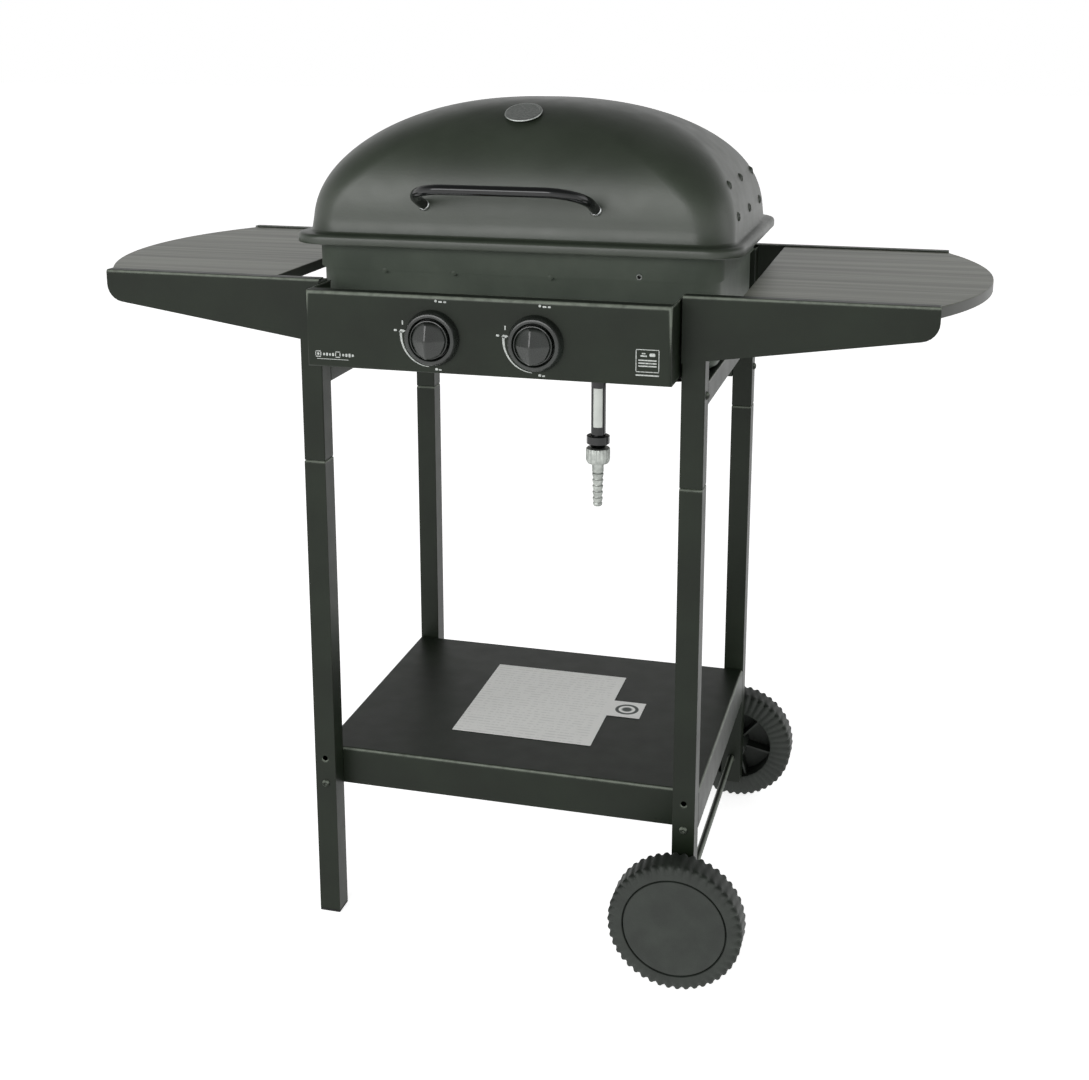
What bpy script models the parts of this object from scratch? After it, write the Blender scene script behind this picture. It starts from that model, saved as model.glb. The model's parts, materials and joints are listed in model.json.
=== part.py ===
"""Gas barbecue grill on a four-legged cart, with two side tables and two wheels.

Metres, +Z up. The front, with the knobs, faces -Y. The pieces are drawn round the middle of the
cart, and at the end all of it is moved so that the origin is on the floor under the middle of the
whole object. Each sub-part is one object; cutters are in a collection of their own.
"""
import math

import bmesh
import bpy
from mathutils import Euler, Matrix, Vector

# ---------------------------------------------------------------- driving dimensions
GAP = 0.0003                 # left between pieces that touch
TUBE = 0.025                 # square tube of the cart
TUBE_WALL = 0.0015
CART_X = 0.225               # outer faces of the legs, from the middle
CART_Y = 0.200
LEG_JOINT_Z = 0.561          # the lower leg ends here and the upper one starts
SPIGOT_LENGTH = 0.038        # narrowed end of the lower leg, inside the upper one
RIGHT_LEG_BOTTOM = 0.040     # the legs on the wheel side stop above the floor
FOOT_PAD = 0.003
SHEET = 0.0015               # brackets
THIN_SHEET = 0.0012          # pressed sheet of the shelf, panel and lid

SHELF_TOP = 0.204
SHELF_FLANGE = 0.045
SIDE_RAIL_Z = 0.649          # underside of the two side rails
REAR_RAIL_Z = 0.600

TABLE_TOP = 0.7684           # top of the bracket flanges
BRACKET_END_X = 0.457
BRACKET_FLANGE = 0.0138
BRACKET_LOW_Z = 0.6973       # lower edge of the web, at the leg
BRACKET_HIGH_Z = 0.7349      # the same edge carried on to the outer end
BRACKET_CORNER = 0.020
BOARD_THICK = 0.012
BOARD_INNER_X = 0.2586
BOARD_OUTER_X = 0.508
BOARD_END_RADIUS = 0.370

PANEL_FRONT_Y = -0.2446
PANEL_BACK_Y = -0.177
PANEL_HALF_X = 0.1975
PANEL_BOTTOM = 0.681
PANEL_TOP = 0.7637
KNOB_X = 0.056
KNOB_Z = 0.719
KNOB_RADIUS = 0.0205
KNOB_DEPTH = 0.020
KNOB_TRAVEL = 0.003
STEM_RADIUS = 0.0035
BEZEL_RADIUS = 0.030
BEZEL_HEIGHT = 0.010

INLET_X = 0.117
PIPE_Y = -0.220
PIPE_RADIUS = 0.008
MANIFOLD_Z = 0.697
INLET_PIPE_END = 0.621
HOSE_TAIL_END = 0.543

FIREBOX_BOTTOM = SIDE_RAIL_Z + TUBE + GAP
LEDGE_Z = 0.770              # the wall steps out here, and the grates lie on the step
LEDGE_STEP = 0.004
FIREBOX_X = 0.230            # outside of the wall above the ledge
FIREBOX_Y = 0.145
RIM_Z = 0.8093
RIM_WIDTH = 0.006
FIREBOX_WALL = 0.0015
BURNER_Z = 0.712
BURNER_RADIUS = 0.011
BURNER_X = 0.108

LID_X = 0.240                # outside of the dome at its foot
LID_Y = 0.150
LID_FOOT_Z = 0.812
LID_HEIGHT = 0.144
LID_CURVE_X = 2.35           # exponents of the dome's outline from the front and from the side
LID_CURVE_Y = 2.6
BRIM_X = 0.252
BRIM_Y = 0.163
BRIM_BOTTOM = 0.800
BRIM_CORNER = 0.038
HINGE_Y = 0.176
HINGE_Z = 0.818
HINGE_X = 0.150
PIN_RADIUS = 0.003

HANDLE_FOOT_X = 0.096
HANDLE_FOOT_Z = 0.846
HANDLE_BAR_Y = -0.210
HANDLE_BAR_Z = 0.870
HANDLE_BEND = 0.042
HANDLE_RADIUS = 0.0055

WHEEL_RADIUS = 0.075
WHEEL_WIDTH = 0.035
WHEEL_OUTER_Y = 0.249        # outer face of each wheel, from the middle
AXLE_X = CART_X - TUBE / 2
AXLE_RADIUS = 0.004
CAP_RADIUS = 0.057
HOLLOW_RADIUS = 0.047        # recess round the hub, on the inner side

TRAY_Z = 0.6653              # underside of the drip tray's flange
CENTRE_SHIFT = 0.01095       # the knobs stand out further than the rear wheel, so all moves back

# ---------------------------------------------------------------- scene, collections, materials
for old in list(bpy.data.objects):
    bpy.data.objects.remove(old, do_unlink=True)


def collection(name):
    made = bpy.data.collections.new(name)
    bpy.context.scene.collection.children.link(made)
    return made


PARTS = collection("gas_barbecue_grill")
CUTTERS = collection("cutters")


def material(name, rgb, roughness, metallic=0.0):
    made = bpy.data.materials.new(name)
    made.use_nodes = True
    made.diffuse_color = (*rgb, 1.0)
    shader = made.node_tree.nodes["Principled BSDF"]
    shader.inputs["Base Color"].default_value = (*rgb, 1.0)
    shader.inputs["Roughness"].default_value = roughness
    shader.inputs["Metallic"].default_value = metallic
    return made


FRAME_PAINT = material("frame_paint", (0.030, 0.036, 0.030), 0.45)
LID_PAINT = material("lid_paint", (0.060, 0.066, 0.062), 0.38)
DARK_TUBE = material("black_gloss", (0.010, 0.011, 0.011), 0.20)
BOARD_FACE = material("board_face", (0.180, 0.186, 0.168), 0.60)
KNOB_PLASTIC = material("knob_plastic", (0.025, 0.028, 0.027), 0.35)
WHEEL_PLASTIC = material("wheel_plastic", (0.050, 0.056, 0.052), 0.60)
FOOT_PLASTIC = material("foot_plastic", (0.020, 0.020, 0.020), 0.55)
ZINC = material("zinc", (0.520, 0.530, 0.520), 0.35, 1.0)
BRASS = material("brass", (0.560, 0.400, 0.170), 0.35, 1.0)
STEEL = material("bare_steel", (0.450, 0.450, 0.440), 0.40, 1.0)
ENAMEL = material("grate_enamel", (0.020, 0.020, 0.020), 0.30)
PAPER = material("label_paper", (0.640, 0.660, 0.660), 0.80)
BADGE = material("badge_metal", (0.480, 0.500, 0.490), 0.30, 1.0)


# ---------------------------------------------------------------- modelling helpers
def add(name, data, surface, group=None):
    """Put a mesh or curve in the scene as an object of its own."""
    made = bpy.data.objects.new(name, data)
    (group or PARTS).objects.link(made)
    if surface is not None:
        data.materials.append(surface)
    return made


def smooth(obj, angle=35.0):
    obj.data.shade_smooth()
    obj.data.set_sharp_from_angle(angle=math.radians(angle))
    return obj


def mesh_from(name, shape, surface, group=None):
    """Turn a filled bmesh into an object."""
    data = bpy.data.meshes.new(name)
    shape.to_mesh(data)
    shape.free()
    return add(name, data, surface, group)


def box(name, low, high, surface, bevel=0.0, group=None):
    """A block between two corners, its edges rounded by bevel."""
    low, high = Vector(low), Vector(high)
    shape = bmesh.new()
    bmesh.ops.create_cube(shape, size=1.0)
    bmesh.ops.scale(shape, vec=high - low, verts=shape.verts)
    bmesh.ops.translate(shape, vec=(low + high) / 2, verts=shape.verts)
    made = mesh_from(name, shape, surface, group)
    if bevel > 0.0:
        rounding = made.modifiers.new("edges", "BEVEL")
        rounding.width = bevel
        rounding.segments = 2
    return made


def rod(name, radius, start, end, surface, sides=24, group=None):
    """A round bar between two points."""
    start, end = Vector(start), Vector(end)
    along = end - start
    shape = bmesh.new()
    bmesh.ops.create_cone(shape, cap_ends=True, segments=sides, radius1=radius, radius2=radius,
                          depth=along.length)
    turn = Vector((0, 0, 1)).rotation_difference(along.normalized()).to_matrix().to_4x4()
    bmesh.ops.transform(shape, matrix=Matrix.Translation((start + end) / 2) @ turn, verts=shape.verts)
    return mesh_from(name, shape, surface, group)


def as_mesh(obj):
    """Replace a curve object by its welded mesh."""
    name = obj.name
    surface = obj.data.materials[0] if obj.data.materials else None
    bpy.context.view_layer.update()
    data = bpy.data.meshes.new_from_object(obj.evaluated_get(bpy.context.evaluated_depsgraph_get()))
    shape = bmesh.new()
    shape.from_mesh(data)
    bmesh.ops.remove_doubles(shape, verts=shape.verts, dist=0.00001)
    bmesh.ops.recalc_face_normals(shape, faces=shape.faces)
    shape.to_mesh(data)
    shape.free()
    group = obj.users_collection[0]
    place = obj.matrix_world.copy()
    bpy.data.objects.remove(obj, do_unlink=True)
    data.materials.clear()
    made = add(name, data, surface, group)
    made.matrix_world = place
    return made


# Local X and Y of a flat outline, turned so that it is seen from the front, the side or above.
FACING_FRONT = Matrix(((1, 0, 0), (0, 0, -1), (0, 1, 0))).to_4x4()
FACING_SIDE = Matrix(((0, 0, 1), (1, 0, 0), (0, 1, 0))).to_4x4()
FACING_UP = Matrix.Identity(4)


def plate(name, loops, thickness, facing, middle, surface, group=None):
    """A flat outline, with holes if there is more than one loop, given a thickness."""
    curve = bpy.data.curves.new(name, "CURVE")
    curve.dimensions = "2D"
    curve.fill_mode = "BOTH"
    curve.extrude = thickness / 2
    for loop in loops:
        spline = curve.splines.new("POLY")
        spline.points.add(len(loop) - 1)
        for point, (across, up) in zip(spline.points, loop):
            point.co = (across, up, 0.0, 1.0)
        spline.use_cyclic_u = True
    made = add(name, curve, surface, group)
    made.matrix_world = Matrix.Translation(middle) @ facing
    return as_mesh(made)


def tube(name, points, radius, surface, resolution=2):
    """A round bar along a line of points."""
    curve = bpy.data.curves.new(name, "CURVE")
    curve.dimensions = "3D"
    curve.bevel_depth = radius
    curve.bevel_resolution = resolution
    curve.use_fill_caps = True
    spline = curve.splines.new("POLY")
    spline.points.add(len(points) - 1)
    for point, place in zip(spline.points, points):
        point.co = (*place, 1.0)
    return smooth(as_mesh(add(name, curve, surface)))


TO_FRONT = (math.pi / 2, 0.0, 0.0)
TO_BACK = (-math.pi / 2, 0.0, 0.0)
UPRIGHT = (0.0, 0.0, 0.0)
TO_RIGHT = (0.0, math.pi / 2, 0.0)


def turned(name, profile, place, rotation, surface, steps=32, closed=False, group=None):
    """A profile of (radius, height) turned round its axis, top of the profile first."""
    data = bpy.data.meshes.new(name)
    edges = [(i, i + 1) for i in range(len(profile) - 1)]
    if closed:
        edges.append((len(profile) - 1, 0))
    data.from_pydata([(radius, 0.0, height) for radius, height in profile], edges, [])
    made = add(name, data, surface, group)
    made.location = place
    made.rotation_euler = Euler(rotation)
    lathe = made.modifiers.new("turn", "SCREW")
    lathe.steps = steps
    lathe.render_steps = steps
    lathe.use_merge_vertices = True
    lathe.merge_threshold = 0.00001
    lathe.use_smooth_shade = True
    return made


def loft(name, rings, surface, cap_first=False, cap_last=False, close=False):
    """Skin between rings of points, the same number in each."""
    shape = bmesh.new()
    rows = [[shape.verts.new(point) for point in ring] for ring in rings]
    pairs = list(zip(rows, rows[1:]))
    if close:
        pairs.append((rows[-1], rows[0]))
    count = len(rows[0])
    for low, high in pairs:
        for i in range(count):
            j = (i + 1) % count
            shape.faces.new((low[i], low[j], high[j], high[i]))
    if cap_first:
        shape.faces.new(rows[0][::-1])
    if cap_last:
        shape.faces.new(rows[-1])
    return mesh_from(name, shape, surface)


def rounded_ring(half_x, half_y, radius, z, steps=6, middle=(0.0, 0.0)):
    """A rectangle with round corners, anticlockwise from above."""
    ring = []
    for corner, (sign_x, sign_y) in enumerate(((1, 1), (-1, 1), (-1, -1), (1, -1))):
        for step in range(steps + 1):
            angle = math.radians(90 * (corner + step / steps))
            ring.append((middle[0] + sign_x * (half_x - radius) + radius * math.cos(angle),
                         middle[1] + sign_y * (half_y - radius) + radius * math.sin(angle), z))
    return ring


def square_ring(half, z, middle):
    return [(middle[0] + sx * half, middle[1] + sy * half, z)
            for sx, sy in ((-1, -1), (1, -1), (1, 1), (-1, 1))]


def shell(obj, thickness):
    """Give an open skin its sheet thickness, on the inner side."""
    wall = obj.modifiers.new("sheet", "SOLIDIFY")
    wall.thickness = thickness
    wall.offset = -1.0
    wall.use_even_offset = True
    return obj


def combine(target, other, operation):
    """Cut other out of target, or weld it on, with a live Boolean."""
    for group in list(other.users_collection):
        group.objects.unlink(other)
    CUTTERS.objects.link(other)
    other.hide_render = True
    other.display_type = "WIRE"
    boolean = target.modifiers.new(other.name, "BOOLEAN")
    boolean.operation = operation
    boolean.solver = "EXACT"
    boolean.object = other
    return target


def cut(target, other):
    return combine(target, other, "DIFFERENCE")


def weld(target, other):
    return combine(target, other, "UNION")


def arc(middle, radius, start, end, steps):
    """Points on a circle, from one angle to another, in degrees."""
    return [(middle[0] + radius * math.cos(math.radians(start + (end - start) * i / steps)),
             middle[1] + radius * math.sin(math.radians(start + (end - start) * i / steps)))
            for i in range(steps + 1)]


SIDES = (("left", -1), ("right", 1))
ENDS = (("front", -1), ("rear", 1))


# ---------------------------------------------------------------- cart
def leg(side, sign_x, end, sign_y):
    """A leg in two lengths: the lower one is narrowed at its top and slips into the upper one."""
    middle = (sign_x * (CART_X - TUBE / 2), sign_y * (CART_Y - TUBE / 2))
    half, bore = TUBE / 2, TUBE / 2 - TUBE_WALL
    spigot = bore - GAP
    foot = RIGHT_LEG_BOTTOM if sign_x > 0 else FOOT_PAD + GAP
    outer = ((half, foot), (half, LEG_JOINT_Z), (spigot, LEG_JOINT_Z + 0.001),
             (spigot, LEG_JOINT_Z + SPIGOT_LENGTH))
    inner = ((spigot - TUBE_WALL, LEG_JOINT_Z + SPIGOT_LENGTH),
             (spigot - TUBE_WALL, LEG_JOINT_Z - 0.001), (bore, LEG_JOINT_Z - 0.002), (bore, foot))
    lower = loft(f"leg_lower_{end}_{side}", [square_ring(size, z, middle) for size, z in outer + inner],
                 FRAME_PAINT, close=True)
    top = TABLE_TOP - 2 * SHEET - GAP
    sizes = ((half, LEG_JOINT_Z + 0.0013), (half, top), (bore, top), (bore, LEG_JOINT_Z + 0.0013))
    loft(f"leg_upper_{end}_{side}", [square_ring(size, z, middle) for size, z in sizes],
         FRAME_PAINT, close=True)
    outer_face = sign_y * (CART_Y + 0.004)
    wall_inside = sign_y * (CART_Y - TUBE / 2)
    cut(lower, rod(f"spare_hole_{end}_{side}", 0.0032, (middle[0], outer_face, SHELF_TOP - 0.004),
                   (middle[0], wall_inside, SHELF_TOP - 0.004), None, sides=12))
    if sign_x > 0:
        cut(lower, rod(f"axle_hole_{end}", AXLE_RADIUS + GAP, (middle[0], outer_face, WHEEL_RADIUS),
                       (middle[0], sign_y * (CART_Y - TUBE - 0.004), WHEEL_RADIUS), None, sides=16))


def foot(end, sign_y):
    """A plastic foot, pushed into the end of a leg that has no wheel."""
    middle = (-(CART_X - TUBE / 2), sign_y * (CART_Y - TUBE / 2))
    plug = TUBE / 2 - TUBE_WALL - GAP
    sizes = ((TUBE / 2 - 0.001, 0.0), (TUBE / 2, 0.001), (TUBE / 2, FOOT_PAD), (plug, FOOT_PAD),
             (plug, 0.018), (plug - 0.0015, 0.020))
    loft(f"foot_{end}_left", [square_ring(size, z, middle) for size, z in sizes], FOOT_PLASTIC,
         cap_first=True, cap_last=True)


def hollow_rail(name, low, high):
    """A straight length of square tube, open at both ends."""
    low, high = Vector(low), Vector(high)
    along = max(range(3), key=lambda axis: high[axis] - low[axis])
    body = box(name, low, high, FRAME_PAINT)
    grow = Vector([-0.01 if axis == along else TUBE_WALL for axis in range(3)])
    cut(body, box(name + "_bore", low + grow, high - grow, None))


def cart():
    for side, sign_x in SIDES:
        for end, sign_y in ENDS:
            leg(side, sign_x, end, sign_y)
        inner, outer = sorted((sign_x * (CART_X - TUBE), sign_x * CART_X))
        reach = CART_Y - TUBE - GAP
        hollow_rail(f"side_rail_{side}", (inner, -reach, SIDE_RAIL_Z), (outer, reach, SIDE_RAIL_Z + TUBE))
    for end, sign_y in ENDS:
        foot(end, sign_y)
    reach = CART_X - TUBE - GAP
    hollow_rail("rear_cross_rail", (-reach, CART_Y - TUBE, REAR_RAIL_Z), (reach, CART_Y, REAR_RAIL_Z + TUBE))


def shelf():
    """An upside-down tray of sheet steel, held between the front and the rear legs."""
    half_y = CART_Y - TUBE - GAP
    rings = [rounded_ring(CART_X, half_y, 0.002, SHELF_TOP - SHELF_FLANGE, steps=1),
             rounded_ring(CART_X, half_y, 0.002, SHELF_TOP - 0.003, steps=1),
             rounded_ring(CART_X - 0.001, half_y - 0.001, 0.002, SHELF_TOP - 0.001, steps=1),
             rounded_ring(CART_X - 0.003, half_y - 0.003, 0.002, SHELF_TOP, steps=1)]
    shell(loft("lower_shelf", rings, FRAME_PAINT, cap_last=True), THIN_SHEET)


def shelf_label():
    """A leaflet with a square tab, lying on the shelf."""
    left, right, front, back = -0.090, 0.082, -0.097, 0.106
    tab, tab_front, tab_back = 0.123, -0.010, 0.034
    loop = [(left, front), (right, front), (right, tab_front), (tab, tab_front), (tab, tab_back),
            (right, tab_back), (right, back), (left, back)]
    plate("shelf_label", [loop], 0.0004, FACING_UP, (0.0, 0.0, SHELF_TOP + GAP + 0.0002), PAPER)


def bracket(side, sign_x, end, sign_y):
    """A tapered sheet bracket with a flange on top, which the table board lies under."""
    face = sign_y * (CART_Y + GAP)
    outer = face + sign_y * SHEET
    edge = face - sign_y * (BRACKET_FLANGE - SHEET)
    bend, inner_bend = 0.003, 0.003 - SHEET
    turn = 0 if sign_y > 0 else 180
    sweep = 90 if sign_y > 0 else -90
    top_arc = arc((outer - sign_y * bend, TABLE_TOP - bend), bend, turn, turn + sweep, 4)
    low_arc = arc((outer - sign_y * bend, TABLE_TOP - bend), inner_bend, turn + sweep, turn, 3)
    loop = [(face, BRACKET_LOW_Z), (outer, BRACKET_LOW_Z), *top_arc, (edge, TABLE_TOP),
            (edge, TABLE_TOP - SHEET), *low_arc]
    start_x = CART_X - TUBE
    length = BRACKET_END_X - start_x
    middle_x = sign_x * (start_x + length / 2)
    made = plate(f"table_bracket_{end}_{side}", [loop], length, FACING_SIDE, (middle_x, 0.0, 0.0),
                 FRAME_PAINT)
    slope = math.atan2(BRACKET_HIGH_Z - BRACKET_LOW_Z, length)
    # The round corner touches the sloping lower edge and the upright outer end.
    corner_x = BRACKET_END_X - BRACKET_CORNER
    corner_z = (BRACKET_LOW_Z + (corner_x - start_x) * math.tan(slope)
                + BRACKET_CORNER / math.cos(slope))
    corner = arc((corner_x, corner_z), BRACKET_CORNER, -90 + math.degrees(slope), 0, 6)
    low = BRACKET_LOW_Z - 0.02
    waste = [(start_x, BRACKET_LOW_Z), *corner, (BRACKET_END_X + 0.01, corner_z),
             (BRACKET_END_X + 0.01, low), (start_x, low)]
    waste = [(sign_x * x, z) for x, z in waste]
    cut(made, plate(f"taper_{end}_{side}", [waste], 0.03, FACING_FRONT, (0.0, face, 0.0), None))
    return made


def board(side, sign_x):
    """A table board with a bowed outer end."""
    half_y = CART_Y - SHEET
    centre_x = BOARD_OUTER_X - BOARD_END_RADIUS
    half_angle = math.degrees(math.asin(half_y / BOARD_END_RADIUS))
    bow = arc((centre_x, 0.0), BOARD_END_RADIUS, -half_angle, half_angle, 24)
    loop = [(BOARD_INNER_X, -half_y), *bow, (BOARD_INNER_X, half_y)]
    loop = [(sign_x * x, y) for x, y in loop]
    top = TABLE_TOP - SHEET - GAP
    plate(f"table_board_{side}", [loop], BOARD_THICK, FACING_UP, (0.0, 0.0, top - BOARD_THICK / 2),
          BOARD_FACE)


def tables():
    for side, sign_x in SIDES:
        board(side, sign_x)
        for end, sign_y in ENDS:
            bracket(side, sign_x, end, sign_y)


# ---------------------------------------------------------------- control panel and gas line
def control_panel():
    """A pressed front with side walls, open at the back."""
    shape = bmesh.new()
    bmesh.ops.create_cube(shape, size=1.0)
    size = Vector((2 * PANEL_HALF_X, PANEL_BACK_Y - PANEL_FRONT_Y, PANEL_TOP - PANEL_BOTTOM))
    middle = Vector((0.0, (PANEL_BACK_Y + PANEL_FRONT_Y) / 2, (PANEL_TOP + PANEL_BOTTOM) / 2))
    bmesh.ops.scale(shape, vec=size, verts=shape.verts)
    bmesh.ops.translate(shape, vec=middle, verts=shape.verts)
    back = [face for face in shape.faces if face.normal.y > 0.9]
    bmesh.ops.delete(shape, geom=back, context="FACES_ONLY")
    front_edges = [edge for edge in shape.edges
                   if all(abs(vert.co.y - PANEL_FRONT_Y) < 0.0001 for vert in edge.verts)]
    bmesh.ops.bevel(shape, geom=front_edges, offset=0.004, segments=3, profile=0.5, affect="EDGES")
    panel = shell(mesh_from("control_panel", shape, FRAME_PAINT), THIN_SHEET)
    inside = PANEL_HALF_X - THIN_SHEET - 0.0008
    for name, lip, low, high in (("panel_top_opening", 0.018, PANEL_TOP - 0.008, PANEL_TOP + 0.01),
                                 ("panel_bottom_opening", 0.012, PANEL_BOTTOM - 0.01, PANEL_BOTTOM + 0.008)):
        cut(panel, box(name, (-inside, PANEL_FRONT_Y + lip, low), (inside, PANEL_BACK_Y + 0.01, high), None))
    for side, sign_x in SIDES:
        x = sign_x * KNOB_X
        cut(panel, rod(f"stem_hole_{side}", 0.007, (x, PANEL_FRONT_Y - 0.01, KNOB_Z),
                       (x, PANEL_FRONT_Y + 0.01, KNOB_Z), None, sides=20))
        wall_x = sign_x * (PANEL_HALF_X - 0.0006)
        weld(panel, rod(f"panel_boss_{side}", 0.007, (wall_x, -0.188, 0.720),
                        (sign_x * (CART_X - TUBE - GAP), -0.188, 0.720), None, sides=16))


def knob(side, sign_x):
    """Bezel, knob with a grip ridge, stem, spring cup and valve of one burner."""
    x = sign_x * KNOB_X
    axis = (x, PANEL_FRONT_Y - GAP, KNOB_Z)
    bezel = [(0.025, BEZEL_HEIGHT), (0.0285, BEZEL_HEIGHT - 0.0035), (BEZEL_RADIUS, 0.0),
             (0.009, 0.0), (0.009, 0.002), (0.021, 0.002), (0.0225, BEZEL_HEIGHT - 0.001),
             (0.0235, BEZEL_HEIGHT)]
    turned(f"bezel_{side}", bezel, axis, TO_FRONT, KNOB_PLASTIC, steps=36, closed=True)

    back = 0.002 + KNOB_TRAVEL + 0.001
    front = back + KNOB_DEPTH
    rim = [(0.0, front), (KNOB_RADIUS - 0.0035, front), (KNOB_RADIUS - 0.0012, front - 0.001),
           (KNOB_RADIUS - 0.0005, front - 0.003), (KNOB_RADIUS, back + 0.002),
           (KNOB_RADIUS - 0.0008, back), (STEM_RADIUS + GAP, back), (STEM_RADIUS + GAP, back + 0.010),
           (0.0, back + 0.010)]
    body = turned(f"knob_{side}", rim, axis, TO_FRONT, KNOB_PLASTIC, steps=36)
    for name, lean in (("left", -1), ("right", 1)):
        facet = box(f"facet_{name}_{side}", (-0.020, -0.030, -0.020), (0.020, 0.0, 0.020), None)
        facet.matrix_world = (Matrix.Translation((x + lean * 0.004, PANEL_FRONT_Y - front, KNOB_Z))
                              @ Matrix.Rotation(math.radians(lean * 30), 4, "Z")
                              @ Matrix.Translation((lean * 0.020, 0.0, 0.0)))
        cut(body, facet)

    stem_back = PANEL_FRONT_Y + 0.022
    rod(f"valve_stem_{side}", STEM_RADIUS, (x, PANEL_FRONT_Y - GAP - back - 0.0097, KNOB_Z),
        (x, stem_back, KNOB_Z), STEEL, sides=16)
    cup = [(0.0065, 0.004), (0.0065, 0.0), (STEM_RADIUS + GAP, 0.0), (STEM_RADIUS + GAP, 0.004)]
    turned(f"spring_cup_{side}", cup, (x, PANEL_FRONT_Y + 0.012, KNOB_Z), TO_FRONT, ZINC,
           steps=20, closed=True)

    # Outline from the front face, where the stem goes in, to the jet at the rear.
    socket, length = 0.010, 0.066
    body_end = length - 0.032
    bore = STEM_RADIUS + 0.0008
    valve = [(0.0, length - socket), (bore, length - socket), (bore, length), (0.0105, length),
             (0.0105, length - 0.020), (0.013, length - 0.021), (0.013, body_end),
             (0.005, body_end - 0.001), (0.004, 0.002), (0.003, 0.0), (0.0, 0.0)]
    turned(f"valve_{side}", valve, (x, PANEL_FRONT_Y + 0.018 + length, KNOB_Z), TO_FRONT, BRASS,
           steps=20)


def gas_line():
    """Manifold pipe that bends down to the inlet, with its fitting, union nut and hose tail."""
    bend = 0.014
    start = (-KNOB_X - 0.022, PIPE_Y, MANIFOLD_Z)
    corner = arc((INLET_X - bend, MANIFOLD_Z - bend), bend, 90, 0, 5)
    route = [start] + [(x, PIPE_Y, z) for x, z in corner] + [(INLET_X, PIPE_Y, INLET_PIPE_END)]
    tube("manifold_pipe", route, PIPE_RADIUS, DARK_TUBE)

    height = 0.0135
    fitting = [(0.0, height), (0.010, height), (0.0122, height - 0.001), (0.0122, 0.0045),
               (0.0105, 0.0035), (0.0075, 0.0035), (0.0075, 0.0), (0.0, 0.0)]
    turned("inlet_fitting", fitting, (INLET_X, PIPE_Y, INLET_PIPE_END - GAP - height), UPRIGHT, DARK_TUBE,
           steps=24)
    nut_top = INLET_PIPE_END - 2 * GAP - height
    nut = [(0.0118, nut_top), (0.0128, nut_top - 0.0015), (0.0128, nut_top - 0.0150),
           (0.0112, nut_top - 0.0165), (0.0066, nut_top - 0.0165), (0.0066, nut_top)]
    turned("union_nut", nut, (INLET_X, PIPE_Y, 0.0), UPRIGHT, ZINC, steps=24, closed=True)
    ridges = [(0.0, nut_top - 0.002), (0.0062, nut_top - 0.002), (0.0062, nut_top - 0.0200)]
    z = nut_top - 0.0200
    while z > HOSE_TAIL_END + 0.008:
        ridges += [(0.0064, z - 0.001), (0.0052, z - 0.0075)]
        z -= 0.008
    ridges += [(0.0056, z), (0.0044, HOSE_TAIL_END), (0.0, HOSE_TAIL_END)]
    turned("hose_tail", ridges, (INLET_X, PIPE_Y, 0.0), UPRIGHT, ZINC, steps=20)


# ---------------------------------------------------------------- firebox and what it holds
def firebox():
    """Deep steel box with round corners, a step for the grates and a turned-out rim."""
    low_x, low_y = FIREBOX_X - LEDGE_STEP, FIREBOX_Y - LEDGE_STEP
    rings = [rounded_ring(low_x - 0.010, low_y - 0.010, 0.020, FIREBOX_BOTTOM),
             rounded_ring(low_x - 0.003, low_y - 0.003, 0.026, FIREBOX_BOTTOM + 0.004),
             rounded_ring(low_x, low_y, 0.028, FIREBOX_BOTTOM + 0.012),
             rounded_ring(low_x, low_y, 0.028, LEDGE_Z - 0.001),
             rounded_ring(FIREBOX_X, FIREBOX_Y, 0.032, LEDGE_Z + 0.002),
             rounded_ring(FIREBOX_X, FIREBOX_Y, 0.032, RIM_Z - 0.003),
             rounded_ring(FIREBOX_X + 0.002, FIREBOX_Y + 0.002, 0.033, RIM_Z - 0.0015),
             rounded_ring(FIREBOX_X + RIM_WIDTH, FIREBOX_Y + RIM_WIDTH, 0.035, RIM_Z - 0.0015)]
    made = shell(loft("firebox", rings, LID_PAINT, cap_first=True), FIREBOX_WALL)
    for side, sign_x in SIDES:
        x = sign_x * KNOB_X
        cut(made, rod(f"burner_hole_{side}", BURNER_RADIUS + 0.001, (x, -FIREBOX_Y - 0.01, BURNER_Z),
                      (x, -FIREBOX_Y + 0.02, BURNER_Z), None, sides=20))
    cut(made, rod("lighting_hole", 0.0035, (0.143, -FIREBOX_Y - 0.01, 0.776),
                  (0.143, -FIREBOX_Y + 0.01, 0.776), None, sides=12))
    cut(made, rod("drain_hole", 0.020, (0.0, 0.0, FIREBOX_BOTTOM - 0.01),
                  (0.0, 0.0, FIREBOX_BOTTOM + 0.01), None, sides=24))


def burner(side, sign_x):
    """A tube that enters at the valve and swings out to the middle of its half of the firebox."""
    swing_start, swing_end, steps = -0.118, -0.048, 8
    route = [(sign_x * KNOB_X, -FIREBOX_Y - 0.014, BURNER_Z)]
    for step in range(steps + 1):
        part = step / steps
        blend = (1 - math.cos(math.pi * part)) / 2
        route.append((sign_x * (KNOB_X + (BURNER_X - KNOB_X) * blend),
                      swing_start + (swing_end - swing_start) * part, BURNER_Z))
    route.append((sign_x * BURNER_X, FIREBOX_Y - 0.022, BURNER_Z))
    tube(f"burner_{side}", route, BURNER_RADIUS, STEEL)


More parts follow.
